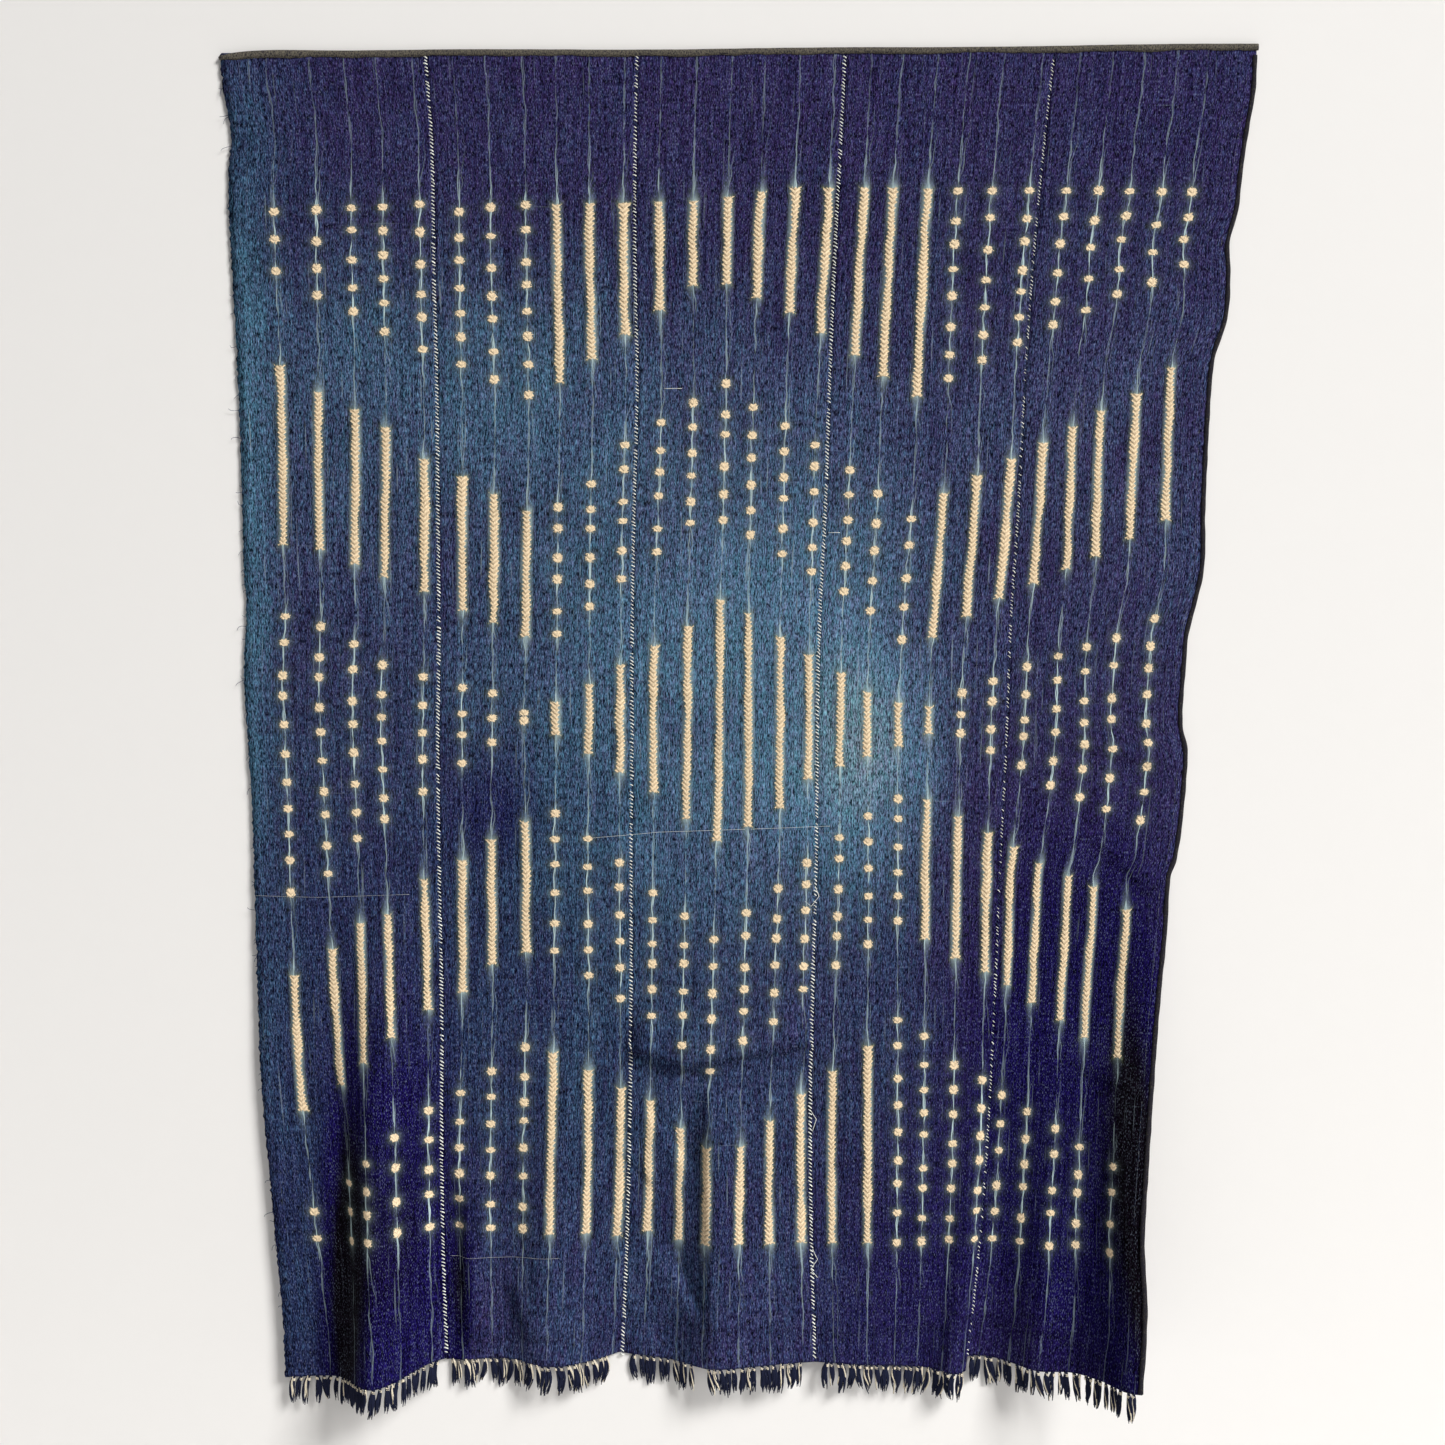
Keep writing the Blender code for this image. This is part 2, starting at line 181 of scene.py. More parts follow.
RIGHT_EDGE = (
    EdgePoint(0, 517), EdgePoint(41, 515), EdgePoint(82, 508), EdgePoint(123, 502), EdgePoint(159, 498),
    EdgePoint(194, 489), EdgePoint(222, 490), EdgePoint(268, 487), EdgePoint(306, 475), EdgePoint(337, 471),
    EdgePoint(457, 465), EdgePoint(516, 464), EdgePoint(554, 456), EdgePoint(585, 448), EdgePoint(623, 445),
    EdgePoint(674, 442), EdgePoint(702, 447), EdgePoint(762, 443), EdgePoint(808, 436), EdgePoint(826, 429),
    EdgePoint(876, 425), EdgePoint(942, 416), EdgePoint(1004, 408), EdgePoint(1111, 395),
    EdgePoint(1174, 388), EdgePoint(1234, 387), EdgePoint(1308, 379),
)

TOP_EDGE_ACROSS = (-518.0, 0.0, 518.0)
TOP_EDGE_DOWN = (2.0, 0.0, -5.0)
HEM_SHARES = (0.0, 0.25, 0.5, 0.75, 1.0)


class SeamStation(NamedTuple):
    """Where the four sewn seams lie at one height."""

    down: float
    seam_1: float
    seam_2: float
    seam_3: float
    seam_4: float


SEAMS = (
    #           down  seam_1 seam_2 seam_3 seam_4
    SeamStation(0, -314, -102, 106, 315),
    SeamStation(100, -307, -104, 101, 304),
    SeamStation(220, -305, -104, 95, 293),
    SeamStation(340, -302, -102, 90, 285),
    SeamStation(460, -301, -105, 86, 279),
    SeamStation(580, -300, -107, 80, 271),
    SeamStation(690, -301, -107, 78, 267),
    SeamStation(810, -300, -108, 77, 261),
    SeamStation(950, -297, -108, 73, 255),
    SeamStation(1070, -297, -109, 71, 249),
    SeamStation(1190, -296, -112, 72, 240),
    SeamStation(1308, -292, -117, 75, 226),
    SeamStation(1330, -291, -118, 76, 223),
)


class StripRow(NamedTuple):
    """One woven strip: its hem level at five places across, its pattern columns and its fringe."""

    number: int
    hem_left: float
    hem_quarter: float
    hem_middle: float
    hem_three_quarters: float
    hem_right: float
    first_column: int
    last_column: int
    locks: int
    bare_left: float
    bare_right: float


STRIPS = (
    #        no.  hem: left  1/4   1/2   3/4   right  columns  locks bare: left right
    StripRow(1, 1323, 1320, 1314, 1312, 1307, 1, 5, 28, 2.0, 2.0),
    StripRow(2, 1308, 1307, 1308, 1309, 1301, 6, 11, 26, 2.0, 9.0),
    StripRow(3, 1302, 1307, 1309, 1308, 1307, 12, 17, 27, 6.0, 7.0),
    StripRow(4, 1307, 1310, 1312, 1315, 1317, 18, 23, 26, 7.0, 2.0),
    StripRow(5, 1303, 1307, 1308, 1307, 1307, 24, 28, 28, 2.0, 2.0),
)


class MarkColumn(NamedTuple):
    """Where one column of resist marks lies on a strip 200 wide, at five heights."""

    number: int
    high: float
    upper: float
    middle: float
    lower: float
    low: float


COLUMN_HEIGHTS = (150.0, 400.0, 670.0, 820.0, 1100.0)
COLUMNS = (
    #          no. high upper middle lower low
    MarkColumn(1, 44, 43, 39, 39, 42),
    MarkColumn(2, 86, 79, 77, 80, 87),
    MarkColumn(3, 120, 117, 111, 113, 117),
    MarkColumn(4, 151, 148, 141, 143, 149),
    MarkColumn(5, 187, 187, 184, 184, 187),
    MarkColumn(6, 26, 25, 25, 25, 19),
    MarkColumn(7, 57, 58, 56, 55, 52),
    MarkColumn(8, 92, 92, 89, 91, 87),
    MarkColumn(9, 123, 123, 122, 121, 117),
    MarkColumn(10, 155, 156, 156, 155, 156),
    MarkColumn(11, 189, 189, 188, 188, 190),
    MarkColumn(12, 24, 26, 23, 24, 22),
    MarkColumn(13, 58, 59, 60, 59, 56),
    MarkColumn(14, 92, 93, 95, 92, 87),
    MarkColumn(15, 124, 121, 126, 126, 123),
    MarkColumn(16, 158, 155, 160, 160, 155),
    MarkColumn(17, 191, 187, 191, 190, 189),
    MarkColumn(18, 26, 24, 24, 25, 24),
    MarkColumn(19, 55, 54, 52, 57, 65),
    MarkColumn(20, 89, 91, 85, 89, 99),
    MarkColumn(21, 119, 123, 117, 119, 128),
    MarkColumn(22, 153, 156, 151, 153, 161),
    MarkColumn(23, 190, 190, 183, 186, 192),
    MarkColumn(24, 27, 23, 20, 13, 15),
    MarkColumn(25, 59, 54, 56, 45, 47),
    MarkColumn(26, 90, 83, 88, 81, 82),
    MarkColumn(27, 122, 121, 119, 112, 112),
    MarkColumn(28, 152, 158, 159, 151, 156),
)


class Mark(Enum):
    """The two kinds of resist mark."""

    BAR = 0.0
    DOTS = 1.0


class Band(NamedTuple):
    """One zigzag band of marks: which columns are bars, and its upper and lower line as (column, down)."""

    bars: tuple
    upper: tuple
    lower: tuple


BANDS = (
    Band(((9, 20),),
         ((1, 163), (5, 155), (6, 163), (8, 156), (13, 152), (14, 147), (16, 139), (20, 139), (21, 142),
          (28, 142)),
         ((1, 221), (2, 245), (5, 301), (8, 344), (9, 334), (13, 237), (14, 236), (16, 263), (20, 348),
          (21, 330), (24, 276), (28, 216))),
    Band(((1, 8), (21, 28)),
         ((1, 317), (2, 343), (4, 378), (5, 410), (8, 461), (9, 458), (10, 434), (11, 395), (14, 334),
          (15, 357), (17, 395), (19, 443), (20, 469), (21, 443), (27, 344), (28, 317)),
         ((1, 496), (2, 501), (5, 541), (6, 561), (8, 586), (9, 584), (13, 474), (14, 471), (16, 503),
          (19, 560), (20, 588), (21, 588), (22, 567), (23, 548), (25, 520), (26, 507), (28, 471))),
    Band(((9, 21),),
         ((1, 566), (2, 575), (4, 614), (6, 639), (7, 643), (8, 664), (9, 653), (13, 577), (14, 551),
          (15, 563), (16, 587), (19, 642), (20, 653), (21, 656), (25, 606), (27, 588), (28, 569)),
         ((1, 842), (2, 822), (3, 789), (4, 770), (6, 713), (8, 672), (9, 685), (12, 742), (13, 769),
          (14, 790), (15, 777), (16, 758), (17, 728), (21, 685), (22, 684), (24, 715), (25, 735),
          (28, 771))),
    Band(((1, 8), (21, 28)),
         ((1, 924), (3, 873), (4, 863), (5, 829), (8, 771), (9, 762), (11, 812), (12, 844), (14, 888),
          (18, 787), (20, 748), (21, 750), (25, 813), (27, 836), (28, 860)),
         ((1, 1059), (3, 1009), (5, 960), (6, 943), (7, 914), (8, 902), (9, 901), (11, 948), (12, 965),
          (14, 1020), (15, 988), (16, 970), (17, 937), (20, 871), (21, 888), (22, 908), (24, 934),
          (28, 1005))),
    Band(((9, 19),),
         ((1, 1159), (2, 1127), (4, 1082), (5, 1057), (6, 1043), (8, 997), (9, 1001), (11, 1037),
          (12, 1049), (13, 1077), (14, 1095), (15, 1094), (20, 969), (21, 984), (22, 1014), (26, 1077),
          (28, 1107)),
         ((1, 1185), (3, 1180), (4, 1171), (5, 1174), (8, 1178), (11, 1184), (12, 1180), (13, 1188),
          (20, 1190), (26, 1187), (28, 1188))),
)

DOT_PITCH = 26.5
DOT_HALF_HEIGHT = 3.7
CHART_SEED = 7


class Patch(NamedTuple):
    """One soft cloud on the ground: how much it fades, greens or deepens it; the deepest clouds paint shade
    on fold flanks.
    """

    name: str
    across: float
    down: float
    half_width: float
    half_height: float
    fade: float
    teal: float
    deep: float


PATCHES = (
    #     name            across   down  half: width height  fade  teal  deep
    Patch("middle", 5.0, 640.0, 130.0, 230.0, 0.75, 0.15, 0.0),
    Patch("middle_right", 110.0, 590.0, 80.0, 190.0, 0.35, 0.10, 0.0),
    Patch("middle_left", -170.0, 640.0, 120.0, 330.0, 0.26, 0.20, 0.0),
    Patch("middle_stain", -20.0, 672.0, 95.0, 26.0, -0.28, 0.0, 0.0),
    Patch("upper_left", -400.0, 330.0, 130.0, 170.0, 0.30, 0.25, 0.0),
    Patch("left_edge", -500.0, 560.0, 34.0, 520.0, 0.50, 0.35, 0.0),
    Patch("left_corner", -490.0, 130.0, 50.0, 120.0, 0.12, 0.40, 0.0),
    Patch("upper_middle", -210.0, 330.0, 120.0, 110.0, 0.28, 0.20, 0.0),
    Patch("right_upper", 360.0, 380.0, 150.0, 220.0, 0.20, -0.10, 0.1),
    Patch("strip_4_glow", 126.0, 705.0, 62.0, 95.0, 1.25, 0.10, 0.0),
    Patch("strip_4_low", 150.0, 1240.0, 90.0, 160.0, -0.12, 0.0, 0.75),
    Patch("strip_2_middle", -242.0, 764.0, 50.0, 62.0, -0.15, 0.0, 0.75),
    Patch("low_middle", -60.0, 1130.0, 200.0, 230.0, 0.12, 0.40, 0.0),
    Patch("left_low", -440.0, 900.0, 60.0, 260.0, 0.05, 0.30, 0.0),
    Patch("left_lower_half", -260.0, 900.0, 170.0, 260.0, 0.0, 0.50, 0.1),
    # painted shade on the left fold's left-facing flank
    Patch("left_fold_flank", -389.0, 1230.0, 24.0, 200.0, -0.20, -0.10, 2.6),
    Patch("strip_1_low", -335.0, 1180.0, 55.0, 190.0, -0.12, -0.30, 2.0),
    Patch("strip_5_low", 330.0, 1060.0, 120.0, 300.0, -0.20, -0.90, 1.7),
    Patch("left_edge_low", -440.0, 1230.0, 40.0, 220.0, 0.0, 0.9, -0.2),
    Patch("middle_right_low", 170.0, 960.0, 70.0, 140.0, 0.12, 0.35, 0.0),
    # painted shade on the flared corner's left-facing flank
    Patch("corner_shade", 388.0, 1170.0, 24.0, 240.0, -0.10, 0.0, 2.0),
    # painted shade on the left-facing slope beside seam 1
    Patch("seam_1_shade", -278.0, 1240.0, 12.0, 80.0, -0.10, 0.0, 1.8),
    Patch("top", 0.0, 40.0, 620.0, 110.0, 0.0, -0.15, 0.25),
    Patch("top_right", 420.0, 120.0, 120.0, 160.0, 0.0, -0.10, 0.25),
)


def smooth_line(places: tuple, values: tuple, place: np.ndarray) -> np.ndarray:
    """Read a smooth curve through the given points.

    Args:
        places: Rising places of the points.
        values: The value at each place.
        place: Where the curve is read; it is held at the ends.

    Returns:
        The curve's values there.
    """
    knots = np.asarray(places, float)
    levels = np.asarray(values, float)
    last = len(knots) - 1
    held = np.clip(np.asarray(place, float), knots[0], knots[last])
    index = np.clip(np.searchsorted(knots, held, side="right") - 1, 0, last - 1)
    before = np.maximum(index - 1, 0)
    after = np.minimum(index + 2, last)
    span = knots[index + 1] - knots[index]
    share = (held - knots[index]) / span
    slope_in = (levels[index + 1] - levels[before]) / (knots[index + 1] - knots[before]) * span
    slope_out = (levels[after] - levels[index]) / (knots[after] - knots[index]) * span
    square = share * share
    cube = square * share
    return (
        (2 * cube - 3 * square + 1) * levels[index]
        + (cube - 2 * square + share) * slope_in
        + (3 * square - 2 * cube) * levels[index + 1]
        + (cube - square) * slope_out
    )


def ease(share: np.ndarray) -> np.ndarray:
    """Return a soft rise from 0 to 1."""
    held = np.clip(share, 0.0, 1.0)
    return held * held * (3.0 - 2.0 * held)


@dataclass
class ClothForm:
    """The hung shape that every piece of the cloth follows."""

    seam_dip: float = 0.7
    seam_dip_width: float = 5.0
    seam_scallop: float = 0.5
    seam_scallop_pitch: float = 14.0
    seam_scallop_place: float = 9.0
    seam_scallop_width: float = 7.0
    swell: float = 1.1
    swell_waves: int = 12
    swell_seed: int = 5
    crease_taper: float = 0.22
    arc_samples: int = 60
    waves: list = field(default_factory=list)

    def __post_init__(self) -> None:
        """Draw the long waves of the cloth's own unevenness."""
        draw = random.Random(self.swell_seed)
        for _ in range(self.swell_waves):
            length = draw.uniform(70.0, 260.0)
            angle = draw.uniform(-0.5, 0.5)
            wave_across = math.cos(angle) / length
            wave_down = math.sin(angle) / length * 0.6
            self.waves.append((wave_across, wave_down, draw.uniform(0.0, 6.28)))

    def folds_out(self, across: np.ndarray, down: np.ndarray) -> np.ndarray:
        """Return how far the main folds carry the cloth out from the wall."""
        total = np.zeros(np.broadcast(across, down).shape)
        for fold in FOLDS:
            ridge = fold.across + fold.lean * (HEM_DOWN - down)
            width = np.where(across < ridge, fold.left_width, fold.right_width)
            growth = ease((down - fold.starts) / (fold.full - fold.starts))
            total = total + fold.out * growth * np.exp(-(((across - ridge) / width) ** 2))
        return total

    def crease_out(self, crease: Crease, across: np.ndarray, down: np.ndarray) -> np.ndarray:
        """Return what one crease adds to the depth.

        Args:
            crease: The crease.
            across: Places across the cloth.
            down: Heights, in a shape that goes with across.

        Returns:
            The depths, in the shape of both.
        """
        run = crease.to_across - crease.from_across
        drop = crease.to_down - crease.from_down
        length = math.hypot(run, drop)
        share = ((across - crease.from_across) * run + (down - crease.from_down) * drop) / length**2
        aside = (-(across - crease.from_across) * drop + (down - crease.from_down) * run) / length
        taper = self.crease_taper
        window = ease((share + taper) / (2 * taper)) * ease((1 + taper - share) / (2 * taper))
        ridge = crease.ridge * np.exp(-((aside / crease.half_width) ** 2))
        step = crease.step * np.tanh(aside / crease.half_width) * np.exp(-((aside / crease.reach) ** 2))
        return (ridge + step) * window

    def out(self, across: np.ndarray, down: np.ndarray) -> np.ndarray:
        """Return the whole depth of the cloth's mid surface: folds, creases, swells and sewn seams.

        Args:
            across: Places across the cloth.
            down: Heights, in a shape that goes with across.

        Returns:
            How far the mid surface stands out from the wall there.
        """
        total = self.folds_out(across, down) + MID_SURFACE_OUT
        for crease in CREASES:
            total = total + self.crease_out(crease, across, down)
        loose = self.swell * (0.35 + 0.65 * ease(down / HEM_DOWN)) * 2.0 / self.swell_waves
        for wave_across, wave_down, phase in self.waves:
            total = total + loose * np.sin(FULL_TURN * (wave_across * across + wave_down * down) + phase)
        for column in SEAM_NUMBERS:
            aside = np.abs(across - self.seam(column, down))
            total = total - self.seam_dip * np.exp(-((aside / self.seam_dip_width) ** 2))
            scallop = self.seam_scallop * np.sin(FULL_TURN * down / self.seam_scallop_pitch + column)
            beside = (aside - self.seam_scallop_place) / self.seam_scallop_width
            total = total + scallop * np.exp(-(beside**2))
        return np.maximum(total, LEAST_OUT)

    def seam(self, number: int, down: np.ndarray) -> np.ndarray:
        """Return where a seam lies at the given heights."""
        return smooth_line([s.down for s in SEAMS], [s[number] for s in SEAMS], down)

    def side(self, number: int, down: np.ndarray) -> np.ndarray:
        """Return side line 0 (the left edge) to 5 (the right edge) at the given heights."""
        if number == 0:
            return smooth_line(*zip(*LEFT_EDGE), down)
        if number == 5:
            return smooth_line(*zip(*RIGHT_EDGE), down)
        return self.seam(number, down)

    def top(self, across: np.ndarray) -> np.ndarray:
        """Return the level of the top edge."""
        return smooth_line(TOP_EDGE_ACROSS, TOP_EDGE_DOWN, across)

    def hem(self, strip: StripRow, share: np.ndarray) -> np.ndarray:
        """Return the level of a strip's hem at shares of its width."""
        return smooth_line(HEM_SHARES, strip[1:6], share)

    def across_at(self, number: int, down: np.ndarray, shares: np.ndarray) -> np.ndarray:
        """Return places across a strip that lie at shares of the folded cloth's own width.

        Args:
            number: The strip, 1 to 5.
            down: One height for each row.
            shares: The wanted shares, a row for each height.

        Returns:
            The places across, in the shape of shares.
        """
        left = self.side(number - 1, down)
        right = self.side(number, down)
        steps = np.linspace(0.0, 1.0, self.arc_samples + 1)
        places = left[:, None] + (right - left)[:, None] * steps[None, :]
        depths = self.folds_out(places, down[:, None])
        lengths = np.hypot(np.diff(places, axis=1), np.diff(depths, axis=1))
        runs = np.concatenate([np.zeros((len(down), 1)), np.cumsum(lengths, axis=1)], axis=1)
        found = np.empty_like(shares)
        for row in range(len(down)):
            found[row] = np.interp(shares[row] * runs[row, -1], runs[row], places[row])
        return found

    def strip_point(self, strip: StripRow, share: float, below_hem: float) -> tuple:
        """Return a point at or below a strip's hem, and the direction its face looks in there."""
        down = float(self.hem(strip, np.array([share]))[0])
        across = float(self.across_at(strip.number, np.array([down]), np.array([[share]]))[0, 0])
        point, facing = self.point(across, down)
        point.z -= below_hem * MM
        return point, facing

    def point(self, across: float, down: float) -> tuple:
        """Return a point of the mid surface in metres, and the direction its face looks in there."""
        reach = 2.0
        places = np.array([across, across - reach, across + reach, across, across])
        heights = np.array([down, down, down, down - reach, down + reach])
        depths = self.out(places, heights)
        facing = Vector((
            -(depths[2] - depths[1]) / (2 * reach),
            -1.0,
            (depths[4] - depths[3]) / (2 * reach),
        )).normalized()
        return Vector((across, -float(depths[0]), -down)) * MM, facing


@dataclass
class ResistChart:
    """Bars and dots laid out by the bands' zigzag lines, a list of marks for each column."""

    end_wander: float = 1.0
    dot_wander: float = 2.6
    inner_dot_share: float = 1.6
    end_dot_share: float = 0.4
    dot_size_wander: float = 0.22

    def is_bar(self, band: Band, column: int) -> bool:
        """Return whether a column is a bar in this band."""
        return any(first <= column <= last for first, last in band.bars)

    def marks(self, column: int) -> list:
        """Return one column's marks from the top down.

        Args:
            column: The pattern column, 1 to 28.

        Returns:
            A list of (centre, half length, band centre, band half length, kind).
        """
        draw = random.Random(CHART_SEED * 100 + column)
        found = []
        for band in BANDS:
            upper = float(np.interp(column, *zip(*band.upper))) + draw.uniform(-1, 1) * self.end_wander
            lower = float(np.interp(column, *zip(*band.lower))) + draw.uniform(-1, 1) * self.end_wander
            middle = (upper + lower) / 2.0
            half = max(abs(lower - upper) / 2.0, DOT_HALF_HEIGHT)
            if self.is_bar(band, column):
                found.append((middle, half, middle, half, Mark.BAR.value))
                continue
            count = max(1, round(2 * half / DOT_PITCH)) + 1
            for dot in range(count):
                place = upper + (lower - upper) * dot / (count - 1)
                share = self.inner_dot_share if 0 < dot < count - 1 else self.end_dot_share
                place += draw.uniform(-1, 1) * self.dot_wander * share
                size = DOT_HALF_HEIGHT * (1.0 + draw.uniform(-1, 1) * self.dot_size_wander)
                found.append((place, size, middle, half, Mark.DOTS.value))
        return found


@dataclass
class WovenStrip:
    """One woven strip: a thin sheet on the cloth's folds, with its marks' own coordinates."""

    row: StripRow
    form: ClothForm
    chart: ResistChart
    rows: int = 484
    top_inset: float = 2.0
    gap_lines: tuple = (0.06, 0.13, 0.20, 0.30, 0.5, 0.70, 0.80, 0.87, 0.94, 1.0)
    margin_lines: tuple = (0.07, 0.16, 0.26, 0.40, 0.58, 0.78, 1.0)
    pleat_out: float = 1.2
    pleat_width: float = 3.4
    valley_out: float = 0.7
    valley_place: float = 8.5
    valley_width: float = 3.2
    dot_out: float = 0.9
    dot_width: float = 4.2
    end_fall: float = 5.0
    fray: float = 0.5
    fray_seed: int = 3
    uv_gap: float = 250.0
    least_fade: float = 0.02
    worn_fade: float = 0.20
    worn_from: float = 110.0
    worn_reach: float = 260.0
    spared_from: float = 620.0
    spared_reach: float = 300.0
    spared_share: float = 0.7
    right_from: float = 80.0
    right_reach: float = 260.0
    right_share: float = 0.6

    def column_shares(self, depths: np.ndarray) -> np.ndarray:
        """Return where each pattern column runs, as a share of the strip's width, a row for each height."""
        columns = COLUMNS[self.row.first_column - 1:self.row.last_column]
        lines = []
        for column in columns:
            places = np.interp(depths, COLUMN_HEIGHTS, column[1:])
            lines.append(places / CHART_WIDTH)
        return np.stack(lines, axis=1)

    def mesh_lines(self, centres: np.ndarray) -> tuple:
        """Lay the mesh's upright lines closer together beside the pattern columns.

        Args:
            centres: Shares of the pattern columns, rows by columns.

        Returns:
            The shares of all mesh lines, and which column owns the faces right of each line.
        """
        count = centres.shape[1]
        lines = [np.zeros(len(centres))]
        owners = []
        for step in reversed((0.0, *self.margin_lines[:-1])):
            lines.append(centres[:, 0] * (1.0 - step))
            owners.append(0)
        for column in range(count - 1):
            gap = centres[:, column + 1] - centres[:, column]
            for step in self.gap_lines:
                lines.append(centres[:, column] + gap * step)
                owners.append(column if step <= 0.5 else column + 1)
        margin = 1.0 - centres[:, -1]
        for step in self.margin_lines:
            lines.append(centres[:, -1] + margin * step)
            owners.append(count - 1)
        return np.stack(lines, axis=1), np.array(owners)

    def mark_fields(
        self, down: np.ndarray, shares: np.ndarray, centres: np.ndarray, owners: np.ndarray
    ) -> tuple:
        """Work out, for every face corner, where it lies beside the nearest mark and its band.

        Args:
            down: Heights of the vertices, rows by lines.
            shares: Shares of the strip's width of the vertices, rows by lines.
            centres: Shares of the pattern columns, rows by columns.
            owners: The column that owns the faces right of each line.

        Returns:
            The mark field, the span field and the relief of the vertices.
        """
        row_count, line_count = down.shape
        mark = np.zeros((row_count - 1, line_count - 1, 4, 3), np.float32)
        span = np.zeros_like(mark)
        relief = np.zeros(down.shape)
        weight = np.zeros(down.shape)
        corners = ((0, 0), (1, 0), (1, 1), (0, 1))
        for line in range(line_count - 1):
            owner = owners[line]
            marks = np.array(self.chart.marks(self.row.first_column + int(owner)))
            middle = (down[:-1, line] + down[1:, line]) / 2.0
            gaps = np.abs(middle[:, None] - marks[None, :, 0]) - marks[None, :, 1]
            nearest = marks[np.argmin(gaps, axis=1)]
            for corner, (below, right) in enumerate(corners):
                rows = slice(below, row_count - 1 + below)
                aside = (shares[rows, line + right] - centres[rows, owner]) * CHART_WIDTH
                height = down[rows, line + right]
                mark[:, line, corner, 0] = aside
                mark[:, line, corner, 1] = height - nearest[:, 0]
                mark[:, line, corner, 2] = nearest[:, 1]
                span[:, line, corner, 0] = height - nearest[:, 2]
                span[:, line, corner, 1] = nearest[:, 3]
                span[:, line, corner, 2] = nearest[:, 4]
                relief[rows, line + right] += self.pleat(aside, height - nearest[:, 0], nearest)
                weight[rows, line + right] += 1.0
        return mark, span, relief / np.maximum(weight, 1.0)

    def pleat(self, aside: np.ndarray, along: np.ndarray, nearest: np.ndarray) -> np.ndarray:
        """Return the raised pleat of a bar or the small bump of a dot."""
        past_end = np.maximum(np.abs(along) - nearest[:, 1], 0.0)
        ends = np.exp(-((past_end / self.end_fall) ** 2))
        ridge = self.pleat_out * np.exp(-((aside / self.pleat_width) ** 2))
        beside = (np.abs(aside) - self.valley_place) / self.valley_width
        valley = self.valley_out * np.exp(-(beside**2))
        bump = self.dot_out * np.exp(-((aside / self.dot_width) ** 2))
        return np.where(nearest[:, 4] == Mark.BAR.value, ridge - valley, bump) * ends

    def dye(self, across: np.ndarray, down: np.ndarray) -> np.ndarray:
        """Return how faded, green and deep the ground is at each vertex; the deep channel also carries
        painted shade.
        """
        tone = np.zeros((*across.shape, 3), np.float32)
        worn = ease((down - self.worn_from) / self.worn_reach)
        worn = worn * (1.0 - self.spared_share * ease((down - self.spared_from) / self.spared_reach))
        worn = worn * (1.0 - self.right_share * ease((across - self.right_from) / self.right_reach))
        tone[..., 0] = self.least_fade + self.worn_fade * worn
        for patch in PATCHES:
            cloud = np.exp(
                -(((across - patch.across) / patch.half_width) ** 2)
                - ((down - patch.down) / patch.half_height) ** 2
            )
            tone[..., 0] += patch.fade * cloud
            tone[..., 1] += patch.teal * cloud
            tone[..., 2] += patch.deep * cloud
        return tone

    def build(self, finish: bpy.types.Material) -> bpy.types.Object:
        """Build the strip's sheet and dress it.

        Args:
            finish: The dyed cotton.

        Returns:
            The sheet, riding on the cloth's body and standing for its CAD node.
        """
        depths = np.linspace(self.top_inset, HEM_DOWN, self.rows + 1)
        centres = self.column_shares(depths)
        shares, owners = self.mesh_lines(centres)
        left = self.form.side(self.row.number - 1, depths)[:, None]
        right = self.form.side(self.row.number, depths)[:, None]
        nominal = self.form.across_at(self.row.number, depths, shares)
        width_share = (nominal - left) / (right - left)
        top = self.form.top(nominal)
        down = top + depths[:, None] * (self.form.hem(self.row, shares) - top) / HEM_DOWN
        left = self.form.side(self.row.number - 1, down)
        right = self.form.side(self.row.number, down)
        across = left + (right - left) * width_share
        if self.row.number == 1:
            draw = np.random.default_rng(self.fray_seed)
            across[:, 0] += draw.normal(0.0, self.fray, len(across))
        mark, span, relief = self.mark_fields(down, shares, centres, owners)
        out = self.form.out(across, down) + relief
        points = np.stack([across, -out, -down], axis=-1) * MM
        flat_across = shares * FLAT_STRIP_WIDTH + self.row.number * self.uv_gap
        flat = np.stack([flat_across, down], axis=-1) * MM
        mesh = grid_mesh(f"woven_strip_{self.row.number}", points)
        corner_field(mesh, "mark", mark)
        corner_field(mesh, "span", span)
        corner_pairs(mesh, "cloth", flat)
        # The third tone channel deepens the dye and, where it runs highest, stands for painted shade.
        tone = mesh.attributes.new("tone", "FLOAT_VECTOR", "POINT")
        tone.data.foreach_set("vector", self.dye(across, down).ravel())
        mesh.materials.append(finish)
        sheet = put_in_scene(mesh.name, mesh)
        thicken = sheet.modifiers.new("thickness", "SOLIDIFY")
        thicken.thickness = SHEET_THICKNESS * MM
        thicken.offset = 0.0
        LOG.info("%s: %d quads a side", sheet.name, len(mesh.polygons))
        return settle(sheet, "indigo_cotton", f"strip_{self.row.number}")


def put_in_scene(name: str, data: bpy.types.ID) -> bpy.types.Object:
    """Return a new object in the scene that shows a mesh, a light or a camera."""
    made = bpy.data.objects.new(name, data)
    bpy.context.scene.collection.objects.link(made)
    return made


